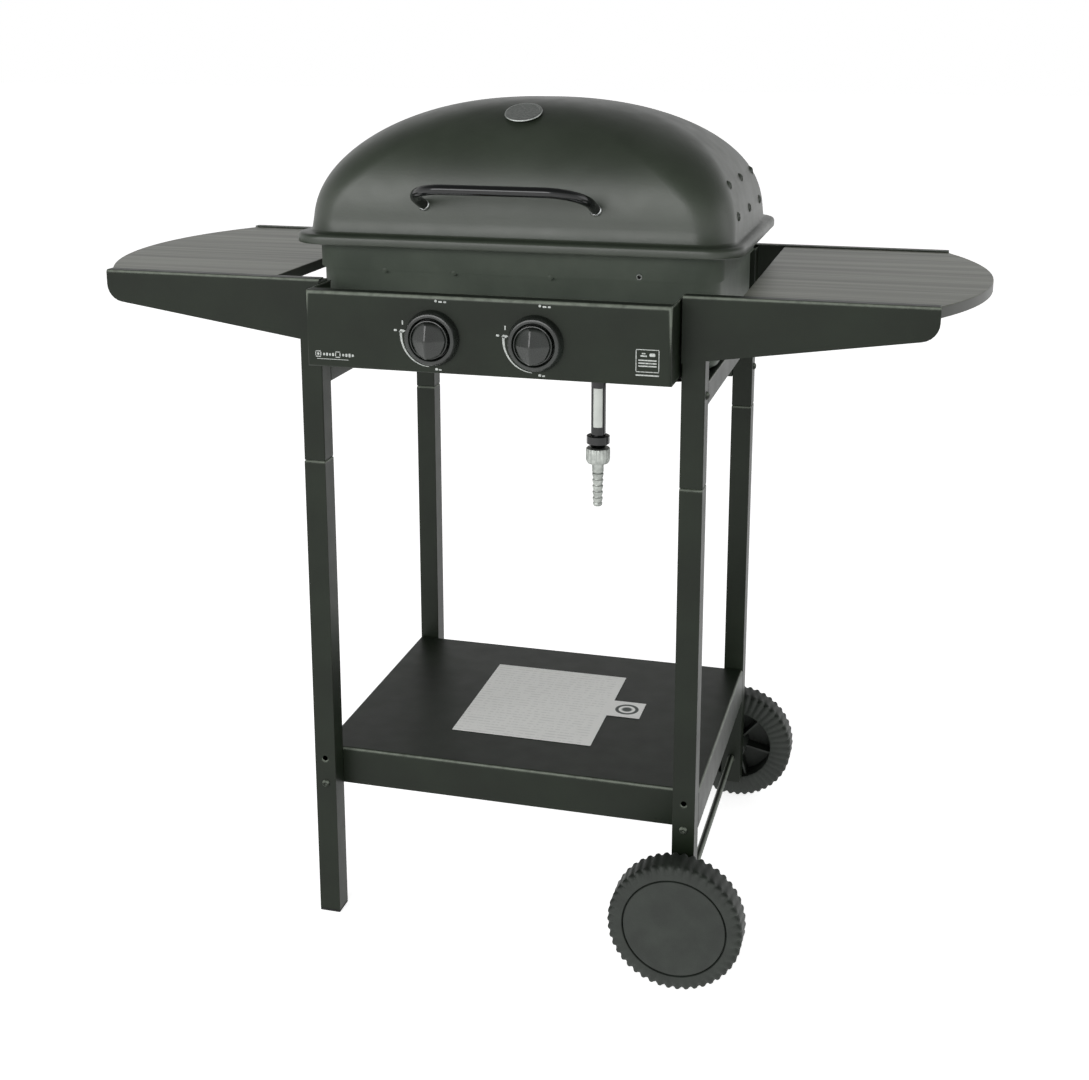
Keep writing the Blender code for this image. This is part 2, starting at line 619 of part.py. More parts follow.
def heat_plate():
    """One folded sheet with a roof over each burner, which spreads the flame's heat."""
    edge = FIREBOX_X - LEDGE_STEP - FIREBOX_WALL - GAP
    low, high = 0.733, 0.750
    line = [(-edge, low + 0.004), (-edge + 0.030, low), (-BURNER_X, high), (-0.030, low), (0.0, low + 0.004)]
    line += [(-x, z) for x, z in line[-2::-1]]
    loop = line + [(x, z - THIN_SHEET) for x, z in line[::-1]]
    plate("heat_plate", [loop], 2 * (FIREBOX_Y - 0.034), FACING_FRONT, (0.0, 0.0, 0.0), STEEL)


def grate(side, sign_x):
    """Half of the cooking surface: a frame with bars from front to back."""
    low, high = 0.0008, FIREBOX_X - FIREBOX_WALL - 0.0006
    half_y = FIREBOX_Y - FIREBOX_WALL - 0.0006
    corner = 0.033
    outer = [(low, -half_y), *arc((high - corner, corner - half_y), corner, -90, 0, 6),
             *arc((high - corner, half_y - corner), corner, 0, 90, 6), (low, half_y)]
    frame, bar, bars = 0.010, 0.0045, 12
    pitch = (high - low - 2 * frame + bar) / bars
    loops = [outer]
    for i in range(bars):
        left = low + frame + i * pitch
        right = left + pitch - bar
        # The outermost slots stop short of the round corners.
        reach = half_y - frame - max(0.0, right - (high - corner)) * 0.55
        for start, stop in ((-reach, -0.003), (0.003, reach)):
            loops.append([(left, start), (right, start), (right, stop), (left, stop)])
    loops = [[(sign_x * x, y) for x, y in loop] for loop in loops]
    plate(f"cooking_grate_{side}", loops, 0.006, FACING_UP, (0.0, 0.0, LEDGE_Z + 0.006), ENAMEL)


def drip_tray():
    """A shallow tray that slides out to the rear on two runners."""
    rings = [rounded_ring(0.170, 0.116, 0.010, TRAY_Z - 0.0115, steps=3),
             rounded_ring(0.182, 0.138, 0.016, TRAY_Z, steps=3),
             rounded_ring(0.194, 0.150, 0.010, TRAY_Z, steps=3)]
    shell(loft("drip_tray", rings, STEEL, cap_first=True), 0.001)
    wall = CART_X - TUBE - GAP
    ledge = TRAY_Z - GAP
    for side, sign_x in SIDES:
        loop = [(wall, ledge - SHEET), (wall, ledge + 0.007), (wall - SHEET, ledge + 0.007),
                (wall - SHEET, ledge), (wall - 0.013, ledge), (wall - 0.013, ledge - SHEET)]
        loop = [(sign_x * x, z) for x, z in loop]
        plate(f"tray_runner_{side}", [loop], 0.280, FACING_FRONT, (0.0, 0.0, 0.0), FRAME_PAINT)


# ---------------------------------------------------------------- lid
def lid_half_sizes(height):
    """Half width and half depth of the dome at a height above its foot."""
    part = min(height / LID_HEIGHT, 1.0)
    return (LID_X * (1 - part ** LID_CURVE_X) ** (1 / LID_CURVE_X),
            LID_Y * (1 - part ** LID_CURVE_Y) ** (1 / LID_CURVE_Y))


def lid():
    """Pressed dome with a brim that hangs round the firebox rim."""
    rings = [rounded_ring(BRIM_X, BRIM_Y, BRIM_CORNER, BRIM_BOTTOM),
             rounded_ring(BRIM_X, BRIM_Y, BRIM_CORNER, LID_FOOT_Z - 0.004),
             rounded_ring(BRIM_X - 0.001, BRIM_Y - 0.001, BRIM_CORNER, LID_FOOT_Z - 0.0018),
             rounded_ring(BRIM_X - 0.003, BRIM_Y - 0.003, BRIM_CORNER, LID_FOOT_Z - 0.001),
             rounded_ring(LID_X + 0.002, LID_Y + 0.002, 0.040, LID_FOOT_Z)]
    levels = 14
    for level in range(1, levels):
        angle = math.radians(90 * level / levels)
        height = LID_HEIGHT * math.sin(angle) ** 0.85
        half_x, half_y = lid_half_sizes(height)
        rounding = 0.042 + (0.96 * half_y - 0.042) * (height / LID_HEIGHT) ** 2.2
        rings.append(rounded_ring(half_x, half_y, min(rounding, 0.97 * half_y), LID_FOOT_Z + height))
    made = shell(loft("lid", rings, LID_PAINT, cap_last=True), THIN_SHEET)
    for side, sign_x in SIDES:
        for row, z in (("lower", 0.834), ("upper", 0.868)):
            for place, y in (("front", -0.085), ("middle", 0.0), ("rear", 0.085)):
                cut(made, rod(f"vent_{row}_{place}_{side}", 0.0032, (sign_x * 0.200, y, z - 0.004),
                              (sign_x * 0.262, y, z + 0.006), None, sides=10))
    smooth(made, 50)


def lid_handle():
    """A bent bar that stands off the front of the lid."""
    surface_y = -lid_half_sizes(HANDLE_FOOT_Z - LID_FOOT_Z)[1]
    out = Vector((0.0, HANDLE_BAR_Y - surface_y, HANDLE_BAR_Z - HANDLE_FOOT_Z))
    reach = out.length
    out.normalize()
    foot_point = Vector((0.0, surface_y, HANDLE_FOOT_Z)) + out * 0.0028
    half = [(HANDLE_FOOT_X, 0.0)]
    half += arc((HANDLE_FOOT_X - HANDLE_BEND, reach - 0.0028 - HANDLE_BEND), HANDLE_BEND, 0, 90, 9)
    line = half + [(-x, distance) for x, distance in half[::-1]]
    tube("lid_handle", [tuple(foot_point + out * distance + Vector((x, 0.0, 0.0)))
                        for x, distance in line], HANDLE_RADIUS, DARK_TUBE)


def lid_badge():
    """A plain round plate on the front slope of the lid."""
    y, tilt = -0.088, math.radians(24)
    height = LID_HEIGHT * (1 - (abs(y) / LID_Y) ** LID_CURVE_Y) ** (1 / LID_CURVE_Y)
    profile = [(0.0, 0.0022), (0.0195, 0.0020), (0.021, 0.0008), (0.021, 0.0), (0.0, 0.0)]
    turned("lid_badge", profile, (0.0, y - 0.0006, LID_FOOT_Z + height + 0.0022), (tilt, 0.0, 0.0), BADGE,
           steps=32)


def hinge(side, sign_x):
    """A plate on the firebox, a plate on the lid and the pin through both."""
    x = sign_x * HINGE_X
    eye = PIN_RADIUS + GAP
    wall = FIREBOX_Y + GAP
    base = [(wall, 0.776), (0.168, 0.776), (0.184, 0.800)]
    base += arc((HINGE_Y, HINGE_Z), 0.008, 0, 180, 8)
    base += [(0.168, 0.7965), (wall, 0.7945)]
    base_plate = plate(f"hinge_base_{side}", [base, arc((HINGE_Y, HINGE_Z), eye, 0, 330, 11)], 0.003,
                       FACING_SIDE, (x - 0.0017, 0.0, 0.0), FRAME_PAINT)
    weld(base_plate, box(f"hinge_foot_{side}", (x - 0.012, wall, 0.777), (x + 0.009, wall + 0.002, 0.794),
                         None))
    back = LID_Y + 0.0020
    ear = [(back, LID_FOOT_Z + 0.003), (0.1690, LID_FOOT_Z + 0.0005)]
    ear += arc((HINGE_Y, HINGE_Z), 0.008, 225, 450, 10)
    ear += [(0.160, LID_FOOT_Z + 0.022), (back, LID_FOOT_Z + 0.022)]
    ear_plate = plate(f"hinge_ear_{side}", [ear, arc((HINGE_Y, HINGE_Z), eye, 0, 330, 11)], 0.003,
                      FACING_SIDE, (x + 0.0017, 0.0, 0.0), FRAME_PAINT)
    weld(ear_plate, box(f"ear_foot_{side}", (x - 0.009, back, LID_FOOT_Z + 0.004),
                        (x + 0.012, back + 0.002, LID_FOOT_Z + 0.021), None))
    pin = [(0.0, 0.0050), (0.0042, 0.0050), (0.0050, 0.0042), (0.0050, 0.0035), (PIN_RADIUS, 0.0035),
           (PIN_RADIUS, -0.0050), (0.0, -0.0050)]
    turned(f"hinge_pin_{side}", pin, (x, HINGE_Y, HINGE_Z), TO_RIGHT, ZINC, steps=16)


# ---------------------------------------------------------------- wheels
def wheel(end, sign_y):
    """A moulded wheel, hollow on its inner side, and the cap that covers the axle's end."""
    rotation = TO_FRONT if sign_y < 0 else TO_BACK
    face = (AXLE_X, sign_y * WHEEL_OUTER_Y, WHEEL_RADIUS)
    width = WHEEL_WIDTH
    hub_end = WHEEL_OUTER_Y - CART_Y - 0.0006
    bore = AXLE_RADIUS + GAP
    profile = [(WHEEL_RADIUS - 0.003, -0.0002), (WHEEL_RADIUS - 0.0008, -0.001), (WHEEL_RADIUS, -0.003),
               (WHEEL_RADIUS, 0.002 - width), (WHEEL_RADIUS - 0.002, -width), (HOLLOW_RADIUS + 0.001, -width),
               (HOLLOW_RADIUS, -0.008), (0.0155, -0.008), (0.0135, -hub_end), (bore, -hub_end),
               (bore, -0.0045), (CAP_RADIUS + 0.0006, -0.0045), (CAP_RADIUS + 0.0006, -0.0002)]
    turned(f"wheel_{end}", profile, face, rotation, WHEEL_PLASTIC, steps=48, closed=True)
    cap = [(0.0, 0.0), (CAP_RADIUS - 0.0008, 0.0), (CAP_RADIUS, -0.0008), (CAP_RADIUS, -0.0025),
           (0.0, -0.0025)]
    turned(f"wheel_cap_{end}", cap, face, rotation, WHEEL_PLASTIC, steps=48)


def wheels():
    for end, sign_y in ENDS:
        wheel(end, sign_y)
    reach = WHEEL_OUTER_Y - 0.0030
    rod("axle", AXLE_RADIUS, (AXLE_X, -reach, WHEEL_RADIUS), (AXLE_X, reach, WHEEL_RADIUS), FRAME_PAINT, sides=24)


# ---------------------------------------------------------------- the whole grill
cart()
shelf()
shelf_label()
tables()
control_panel()
gas_line()
firebox()
heat_plate()
drip_tray()
lid()
lid_handle()
lid_badge()
wheels()
for side_name, side_sign in SIDES:
    knob(side_name, side_sign)
    burner(side_name, side_sign)
    grate(side_name, side_sign)
    hinge(side_name, side_sign)

for placed in bpy.data.objects:
    placed.location.y += CENTRE_SHIFT
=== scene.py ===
# %% [markdown]
# # A gas barbecue grill on a cart
# The real object is a light garden grill: a pressed lid and firebox, a folded control panel, four
# square-tube legs, two side tables and two moulded wheels. The solids come from a CAD frame that
# stays as it is. This lesson gives each of them rounded edges, a finish and the small pieces that
# make it look real.

# %% Load the fixed frame
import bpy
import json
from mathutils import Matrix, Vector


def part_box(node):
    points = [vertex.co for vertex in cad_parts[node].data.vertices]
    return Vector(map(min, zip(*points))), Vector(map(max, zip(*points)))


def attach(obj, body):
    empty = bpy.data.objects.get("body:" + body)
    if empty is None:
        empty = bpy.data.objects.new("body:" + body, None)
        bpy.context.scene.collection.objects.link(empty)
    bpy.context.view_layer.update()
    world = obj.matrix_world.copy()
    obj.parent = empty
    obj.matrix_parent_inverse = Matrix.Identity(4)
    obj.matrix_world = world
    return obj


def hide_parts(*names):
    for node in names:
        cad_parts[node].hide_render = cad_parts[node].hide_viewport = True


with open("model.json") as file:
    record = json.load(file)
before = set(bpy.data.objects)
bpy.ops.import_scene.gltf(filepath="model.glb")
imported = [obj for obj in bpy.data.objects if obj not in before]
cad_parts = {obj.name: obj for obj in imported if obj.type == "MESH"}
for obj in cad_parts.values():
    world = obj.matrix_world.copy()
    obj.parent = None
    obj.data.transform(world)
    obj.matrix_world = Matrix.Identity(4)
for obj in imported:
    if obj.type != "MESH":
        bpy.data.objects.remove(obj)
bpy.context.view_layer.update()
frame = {"nodes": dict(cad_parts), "record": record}

import json
import math

import bmesh
import bpy
from mathutils import Matrix, Vector

body_of_node = {}
for body_name, body_nodes in frame["record"]["behaviour"]["bodies"].items():
    for node_name in body_nodes:
        body_of_node[node_name] = body_name
slot_of_node = {entry["node"]: entry["material_slot"] for entry in frame["record"]["subparts"]}

# %% [markdown]
# ## Colours and nodes
# Colours are written as sRGB hex values, which is how paint charts and pickers give them. Blender
# works in linear light, so one function turns them over. A second small function adds any shader
# node, sets its values and connects its inputs, which keeps each material short enough to read.

# %% Two helpers for materials
def colour(code):
    """An sRGB hex value as linear red, green, blue and alpha."""
    parts = [int(code[i:i + 2], 16) / 255 for i in (1, 3, 5)]
    return (*[c / 12.92 if c <= 0.04045 else ((c + 0.055) / 1.055) ** 2.4 for c in parts], 1.0)


def add_node(tree, kind, links=None, stops=None, **settings):
    """Add a node; links fills its inputs with numbers or with other nodes' outputs."""
    node = tree.nodes.new("ShaderNode" + kind)
    for name, value in settings.items():
        setattr(node, name, value)
    for socket, source in (links or {}).items():
        if isinstance(source, bpy.types.NodeSocket):
            tree.links.new(source, node.inputs[socket])
        else:
            node.inputs[socket].default_value = source
    for i, (place, code) in enumerate(stops or ()):
        ramp = node.color_ramp.elements
        stop = ramp[i] if i < len(ramp) else ramp.new(place)
        stop.position = place
        stop.color = colour(code)
    return node


print("mid grey #808080 is", round(colour("#808080")[0], 3), "in linear light")

# %% [markdown]
# ## The camera
# A product picture like this is taken a little from the right and from above, with a mild
# portrait lens. Tilting the camera down would make the legs lean together, so the lens is also
# shifted down, as on a view camera. The yaw and the pitch are angles that a tripod head shows.

# %% Camera
LENS, SENSOR, LENS_SHIFT = 52.14, 36.0, -0.1386     # millimetres, and a part of the picture's width
CAMERA_PLACE = (0.4755, -1.7617, 1.0482)
PITCH_DOWN, YAW_LEFT = 13.38, 15.02                 # degrees

scene = bpy.context.scene
scene.view_settings.view_transform = "Standard"
camera_data = bpy.data.cameras.new("camera")
camera_data.lens = LENS
camera_data.sensor_width = SENSOR
camera_data.shift_y = LENS_SHIFT
camera = bpy.data.objects.new("camera", camera_data)
camera.location = CAMERA_PLACE
camera.rotation_euler = (math.radians(90 - PITCH_DOWN), 0.0, math.radians(YAW_LEFT))
scene.collection.objects.link(camera)
scene.camera = camera
print("camera", round(camera.location.length, 2), "m from the origin")

# %% [markdown]
# ## Studio
# Dark satin paint shows its shape only by what it reflects. A picture of a studio could wrap the
# scene, but a colour ramp over the sky's height does as much without a file: white at eye level
# and darker overhead, so that upright faces stay dark, edges catch light, and faces seen at a
# glancing angle turn pale. A weak soft box stands on the right and a wide one in front, above the
# camera. The floor is paper that glows a little, so that it stays white up to the horizon.

# %% Floor paper
FLOOR_HALF, FLOOR_GLOW = 20.0, 0.76
floor_corners = [(x * FLOOR_HALF, y * FLOOR_HALF, 0.0) for x, y in ((-1, -1), (1, -1), (1, 1), (-1, 1))]
floor_mesh = bpy.data.meshes.new("floor")
floor_mesh.from_pydata(floor_corners, [], [(0, 1, 2, 3)])
floor = bpy.data.objects.new("floor", floor_mesh)
scene.collection.objects.link(floor)
floor_paper = bpy.data.materials.new("white_background_paper")
floor_paper.use_nodes = True
paper_shader = floor_paper.node_tree.nodes["Principled BSDF"]
for socket, value in (("Base Color", colour("#fafafa")), ("Roughness", 0.9), ("Specular IOR Level", 0.1),
                      ("Emission Color", colour("#ffffff")), ("Emission Strength", FLOOR_GLOW)):
    paper_shader.inputs[socket].default_value = value
floor_mesh.materials.append(floor_paper)
print("floor:", 2 * FLOOR_HALF, "m across")

# %% Room and soft boxes
room = bpy.data.worlds.new("white_room")
room.use_nodes = True
scene.world = room
room_tree = room.node_tree
direction = add_node(room_tree, "TexCoord")
height_up = add_node(room_tree, "SeparateXYZ", {0: direction.outputs["Generated"]})
room_shade = add_node(room_tree, "ValToRGB", {0: height_up.outputs["Z"]},
                      stops=[(0.0, "#ffffff"), (0.24, "#ffffff"), (0.62, "#868686"), (1.0, "#6c6c6c")])
room_light = room_tree.nodes["Background"]
room_tree.links.new(room_shade.outputs["Color"], room_light.inputs["Color"])
room_light.inputs["Strength"].default_value = 1.0


def soft_box(name, place, target, size, power):
    """A rectangle of light, in metres and watts, that faces a point."""
    data = bpy.data.lights.new(name, "AREA")
    data.shape = "RECTANGLE"
    data.size, data.size_y = size
    data.energy = power
    made = bpy.data.objects.new(name, data)
    made.location = place
    made.rotation_euler = (Vector(target) - Vector(place)).to_track_quat("-Z", "Y").to_euler()
    scene.collection.objects.link(made)


soft_box("right_box", (2.6, 0.4, 1.4), (0.0, 0.0, 0.7), (1.4, 1.4), 5.0)
soft_box("front_box", (-1.1, -3.2, 1.75), (0.0, 0.0, 0.85), (3.4, 1.1), 56.0)

# %% [markdown]
# ## Painted steel
# The cart is powder coated: dry polyester powder is sprayed on and baked. It flows into a satin
# skin with a faint orange peel. Its upper folded edges are painted paler: partly rubbed wear, partly
# a painted highlight where a ceiling light would catch the folds. The lid and firebox have a
# heat-proof silicone paint, a little lighter, and duller on the firebox. Both are dielectrics over
# steel, so they aren't metallic in the shader. These pale edges could be painted by hand on each mesh;
# a Bevel node finds them on every piece, because its normal turns smoothly round a fold. Orange
# peel is 1 to 2 mm across; it is drawn 3 mm across so that it shows.

# %% Start of every material
MM = 0.001


def new_material(name, code, roughness, metallic=0.0, **sockets):
    """A Principled material, its node tree, its shader and object coordinates in metres."""
    made = bpy.data.materials.new(name)
    made.use_nodes = True
    made.diffuse_color = colour(code)
    shader = made.node_tree.nodes["Principled BSDF"]
    shader.inputs["Base Color"].default_value = colour(code)
    shader.inputs["Roughness"].default_value = roughness
    shader.inputs["Metallic"].default_value = metallic
    for socket, value in sockets.items():
        shader.inputs[socket.replace("_", " ")].default_value = value
    place = add_node(made.node_tree, "TexCoord").outputs["Object"]
    return made, made.node_tree, shader, place


print("one millimetre is", MM, "scene units")

# %% Powder coat and heat-proof paint
WEAR_AND_HIGHLIGHT_FOLD = 3.6 * MM         # how far from a fold the paint is paler, as wear and as a painted highlight


def painted_steel(name, dark, light, wear_and_highlight_colour, roughness, peel, gloss, wear_and_highlight_part):
    """Satin paint with slow colour drift, orange peel, and upper folds painted paler as wear and as a
    painted highlight.
    """
    made, tree, shader, place = new_material(name, dark, roughness, Specular_IOR_Level=gloss)
    drift = add_node(tree, "TexNoise", {"Vector": place, "Scale": 1 / (70 * MM), "Detail": 4.0})
    body = add_node(tree, "ValToRGB", {0: drift.outputs["Fac"]}, stops=[(0.35, dark), (0.68, light)])

    # A fold's rounded normal leans between upright and level; flat faces lie outside that range.
    rounded = add_node(tree, "Bevel", {"Radius": WEAR_AND_HIGHLIGHT_FOLD}, samples=6)
    lean = add_node(tree, "SeparateXYZ", {0: rounded.outputs["Normal"]}).outputs["Z"]
    turned_up = add_node(tree, "MapRange", {"Value": lean, "From Min": 0.12, "From Max": 0.40})
    not_flat = add_node(tree, "MapRange", {"Value": lean, "From Min": 0.97, "From Max": 0.80,
                                           "To Max": wear_and_highlight_part})
    on_top = add_node(tree, "Math", {0: turned_up.outputs["Result"], 1: not_flat.outputs["Result"]},
                      operation="MULTIPLY")
    rub_and_highlight_noise = add_node(tree, "TexNoise", {"Vector": place, "Scale": 1 / (9 * MM), "Detail": 5.0})
    rubbed_and_highlight = add_node(tree, "MapRange", {"Value": rub_and_highlight_noise.outputs["Fac"], "From Min": 0.1,
                                         "From Max": 0.55, "To Min": 0.35})
    wear_and_highlight = add_node(tree, "Math", {0: on_top.outputs["Value"], 1: rubbed_and_highlight.outputs["Result"]},
                    operation="MULTIPLY")
    # Upper folds take the pale colour: partly rubbed paint, partly a painted highlight in place of a
    # ceiling light's reflection.
    coat = add_node(tree, "Mix", {"Factor": wear_and_highlight.outputs["Value"], "A": body.outputs["Color"],
                                  "B": colour(wear_and_highlight_colour)}, data_type="RGBA")
    tree.links.new(coat.outputs[2], shader.inputs["Base Color"])

    haze = add_node(tree, "TexNoise", {"Vector": place, "Scale": 1 / (22 * MM), "Detail": 3.0})
    sheen = add_node(tree, "MapRange", {"Value": haze.outputs["Fac"], "To Min": roughness - 0.06,
                                        "To Max": roughness + 0.07})
    tree.links.new(sheen.outputs["Result"], shader.inputs["Roughness"])
    skin = add_node(tree, "TexNoise", {"Vector": place, "Scale": 1 / (3 * MM), "Detail": 2.0})
    bump = add_node(tree, "Bump", {"Height": skin.outputs["Fac"], "Strength": peel,
                                   "Distance": 0.25 * MM})
    tree.links.new(bump.outputs["Normal"], shader.inputs["Normal"])
    return made


powder_coat = painted_steel("satin_polyester_powder_coat", "#10170d", "#161e13", "#787f74",
                            roughness=0.42, peel=0.22, gloss=0.24, wear_and_highlight_part=0.9)
heat_paint = painted_steel("silicone_heat_paint", "#2a3127", "#333a30", "#646a62",
                           roughness=0.40, peel=0.30, gloss=0.6, wear_and_highlight_part=0.0)
box_paint = painted_steel("matt_silicone_heat_paint", "#3b423a", "#474e45", "#6a7068",
                          roughness=0.52, peel=0.20, gloss=0.22, wear_and_highlight_part=0.3)
print("painted steel:", [paint.name for paint in (powder_coat, heat_paint, box_paint)])

# %% [markdown]
# ## Gloss black pieces
# The lid's handle, the inlet pipe and its fitting are dipped in gloss black enamel. Enamel is
# smooth, with sharp reflections and only faint ripples where it ran. The ripples could be modelled,
# but they are shallower than a hair, so a bump that only tilts the light is enough.

# %% Gloss black enamel
def rippled(tree, place, shader, across, strength, distance):
    """Small surface waves of a given width, as a bump."""
    waves = add_node(tree, "TexNoise", {"Vector": place, "Scale": 1 / across, "Detail": 3.0})
    bump = add_node(tree, "Bump", {"Height": waves.outputs["Fac"], "Strength": strength,
                                   "Distance": distance})
    tree.links.new(bump.outputs["Normal"], shader.inputs["Normal"])
    return waves


gloss_black, tree, shader, place = new_material("gloss_black_enamel", "#0b0d0d", 0.16)
rippled(tree, place, shader, 12 * MM, 0.12, 0.3 * MM)
print("gloss black:", gloss_black.name)

# %% [markdown]
# ## Moulded plastics
# Knobs are a heat-proof phenolic with a semi-gloss skin. Wheels are blow-moulded polypropylene,
# grey-black, with the dull fine grain of the mould and faint clouds of dust. The inlet's tag is
# white polyester, and the feet's plugs are polyethylene. One function makes all of them, because
# they differ only in colour, sheen and grain. Spark-eroded mould grain is about 0.1 mm; it is
# drawn 1 to 3 mm across so that it shows.

# %% Phenolic, polypropylene, polyester and polyethylene
def moulded(name, dark, light, roughness, grain, strength, gloss=0.3):
    """A moulded or fused skin: surface grain, slow clouds of tone, and sheen that follows the grain."""
    made, tree, shader, place = new_material(name, dark, roughness, Specular_IOR_Level=gloss)
    waves = rippled(tree, place, shader, grain, strength, 0.2 * MM)
    cloud = add_node(tree, "TexNoise", {"Vector": place, "Scale": 1 / (30 * MM), "Detail": 6.0})
    tone = add_node(tree, "ValToRGB", {0: cloud.outputs["Fac"]}, stops=[(0.35, dark), (0.7, light)])
    tree.links.new(tone.outputs["Color"], shader.inputs["Base Color"])
    dull = add_node(tree, "MapRange", {"Value": waves.outputs["Fac"], "To Min": roughness - 0.05,
                                       "To Max": roughness + 0.08})
    tree.links.new(dull.outputs["Result"], shader.inputs["Roughness"])
    return made


phenolic = moulded("phenolic_moulding", "#161916", "#1f2420", 0.27, 2 * MM, 0.10, 0.60)
polypropylene = moulded("blow_moulded_polypropylene", "#1b201b", "#262c26",
                        0.56, 1.2 * MM, 0.60, 0.45)
polyester_label = moulded("white_polyester_label", "#a9ada8", "#bfc3be",
                          0.50, 3 * MM, 0.10, 0.4)
polyethylene = moulded("polyethylene_foot", "#141515", "#1c1e1d", 0.55, 1 * MM, 0.20)
print("plastics:", [p.name for p in (phenolic, polypropylene, polyester_label, polyethylene)])

# %% [markdown]
# ## Table boards
# The tables are fibreboard faced with a printed film: dark oak grain that runs from the grill to
# the table's end. A picture of oak could be laid on, but noise that is stretched fifty times along
# the board never repeats and needs no file. Grain lines are 1 to 3 mm apart. A second, slower noise
# bends them, and the film's faint embossing follows the print. The boards' edges have a plain dark
# band, so the print is kept to faces that point up.

# %% Dark oak film and its edge band
oak_film, tree, shader, place = new_material("dark_oak_film_on_fibreboard", "#3c3e3a", 0.44)
stretch = add_node(tree, "Mapping", {"Vector": place, "Scale": (0.02, 1.0, 1.0)})
warp = add_node(tree, "TexNoise", {"Vector": stretch.outputs["Vector"], "Scale": 1 / (60 * MM)})
bent = add_node(tree, "VectorMath", {0: warp.outputs["Color"], 1: (0.0, 0.014, 0.0),
                                     2: stretch.outputs["Vector"]}, operation="MULTIPLY_ADD")
fibres = add_node(tree, "TexNoise", {"Vector": bent.outputs["Vector"], "Scale": 1 / (2.6 * MM),
                                     "Detail": 6.0, "Roughness": 0.62})
bands = add_node(tree, "TexNoise", {"Vector": bent.outputs["Vector"], "Scale": 1 / (16 * MM),
                                    "Detail": 3.0})
grain = add_node(tree, "Math", {0: fibres.outputs["Fac"], 1: 0.62, 2: bands.outputs["Fac"]},
                 operation="MULTIPLY_ADD")
print_tone = add_node(tree, "ValToRGB", {0: grain.outputs["Value"]},
                      stops=[(0.66, "#4d5043"), (0.80, "#5d6052"), (0.92, "#6b6e60")])
up = add_node(tree, "SeparateXYZ", {0: add_node(tree, "NewGeometry").outputs["Normal"]})
flat = add_node(tree, "MapRange", {"Value": up.outputs["Z"], "From Min": 0.4, "From Max": 0.8})
faced = add_node(tree, "Mix", {"Factor": flat.outputs["Result"], "A": colour("#2b2e28"),
                               "B": print_tone.outputs["Color"]}, data_type="RGBA")
tree.links.new(faced.outputs[2], shader.inputs["Base Color"])
gloss = add_node(tree, "MapRange", {"Value": grain.outputs["Value"], "To Min": 0.46, "To Max": 0.40})
tree.links.new(gloss.outputs["Result"], shader.inputs["Roughness"])
emboss = add_node(tree, "Bump", {"Height": grain.outputs["Value"], "Strength": 0.12, "Distance": 0.2 * MM})
tree.links.new(emboss.outputs["Normal"], shader.inputs["Normal"])
print("board film:", oak_film.name)

# %% [markdown]
# ## Bare metals
# The union nut and hose tail are zinc die castings with a dull plated skin. The burners, the heat
# plate and the drip tray are bare steel that the flame has tinted. Valves are turned brass, the
# handle's washers are chrome plated, and the badge is anodised aluminium. All are the same cloudy
# metal with other numbers. A metal keeps the default index of refraction, because its colour is
# the colour of its reflection.

# %% Zinc, steel, brass, chrome and aluminium
def metal(name, dark, light, roughness, across, strength):
    """Bare metal with clouds of a given width, smoother where it is lighter."""
    made, tree, shader, place = new_material(name, light, roughness, metallic=1.0)
    cloud = add_node(tree, "TexNoise", {"Vector": place, "Scale": 1 / across, "Detail": 5.0})
    tone = add_node(tree, "ValToRGB", {0: cloud.outputs["Fac"]}, stops=[(0.3, dark), (0.7, light)])
    tree.links.new(tone.outputs["Color"], shader.inputs["Base Color"])
    matt = add_node(tree, "MapRange", {"Value": cloud.outputs["Fac"], "To Min": roughness + 0.10,
                                       "To Max": roughness - 0.05})
    tree.links.new(matt.outputs["Result"], shader.inputs["Roughness"])
    rippled(tree, place, shader, 0.8 * MM, strength, 0.1 * MM)
    return made


die_cast_zinc = metal("die_cast_zinc", "#8e928e", "#b6bab5", 0.46, 6 * MM, 0.25)
bare_steel = metal("flame_tinted_steel", "#625a52", "#8a8b8a", 0.42, 45 * MM, 0.20)
turned_brass = metal("turned_brass", "#9c7a3f", "#c9a765", 0.32, 10 * MM, 0.10)
chrome = metal("bright_chrome_plate", "#c9cdcc", "#e2e5e4", 0.12, 10 * MM, 0.02)
badge_metal = metal("satin_anodised_aluminium", "#9ea39f", "#c2c6c2", 0.38, 2.2 * MM, 0.40)
print("metals:", [m.name for m in (die_cast_zinc, bare_steel, turned_brass, chrome, badge_metal)])

# %% [markdown]
# ## Grate enamel, paper and print
# The cooking grates are steel wire dipped in black vitreous enamel, which is glass fused on and
# runs slightly. The leaflet is uncoated paper with grey lines of print and a plain ring on its
# tab. Its print could be thin meshes like the panel's, but faint ink has no edge to see, so sine
# waves and noise draw it in the shader. Lines are 7 mm apart, because real ones would be too fine
# to show. The marks on the panel are pad-printed white ink, which lies in fine specks.

# %% Vitreous enamel
vitreous = moulded("vitreous_black_enamel", "#0e0f0f", "#171918", 0.28, 4 * MM, 0.18)
print("enamel:", vitreous.name)

# %% Leaflet paper
LINE_GAP = 7 * MM
TAB_LENGTH = 48 * MM         # no lines of print on the tab
TAB_MIDDLE = (20 * MM, 7.5 * MM)
RING_RADIUS, RING_HALF_LINE, DOT_RADIUS = 12.5 * MM, 1.6 * MM, 5.0 * MM

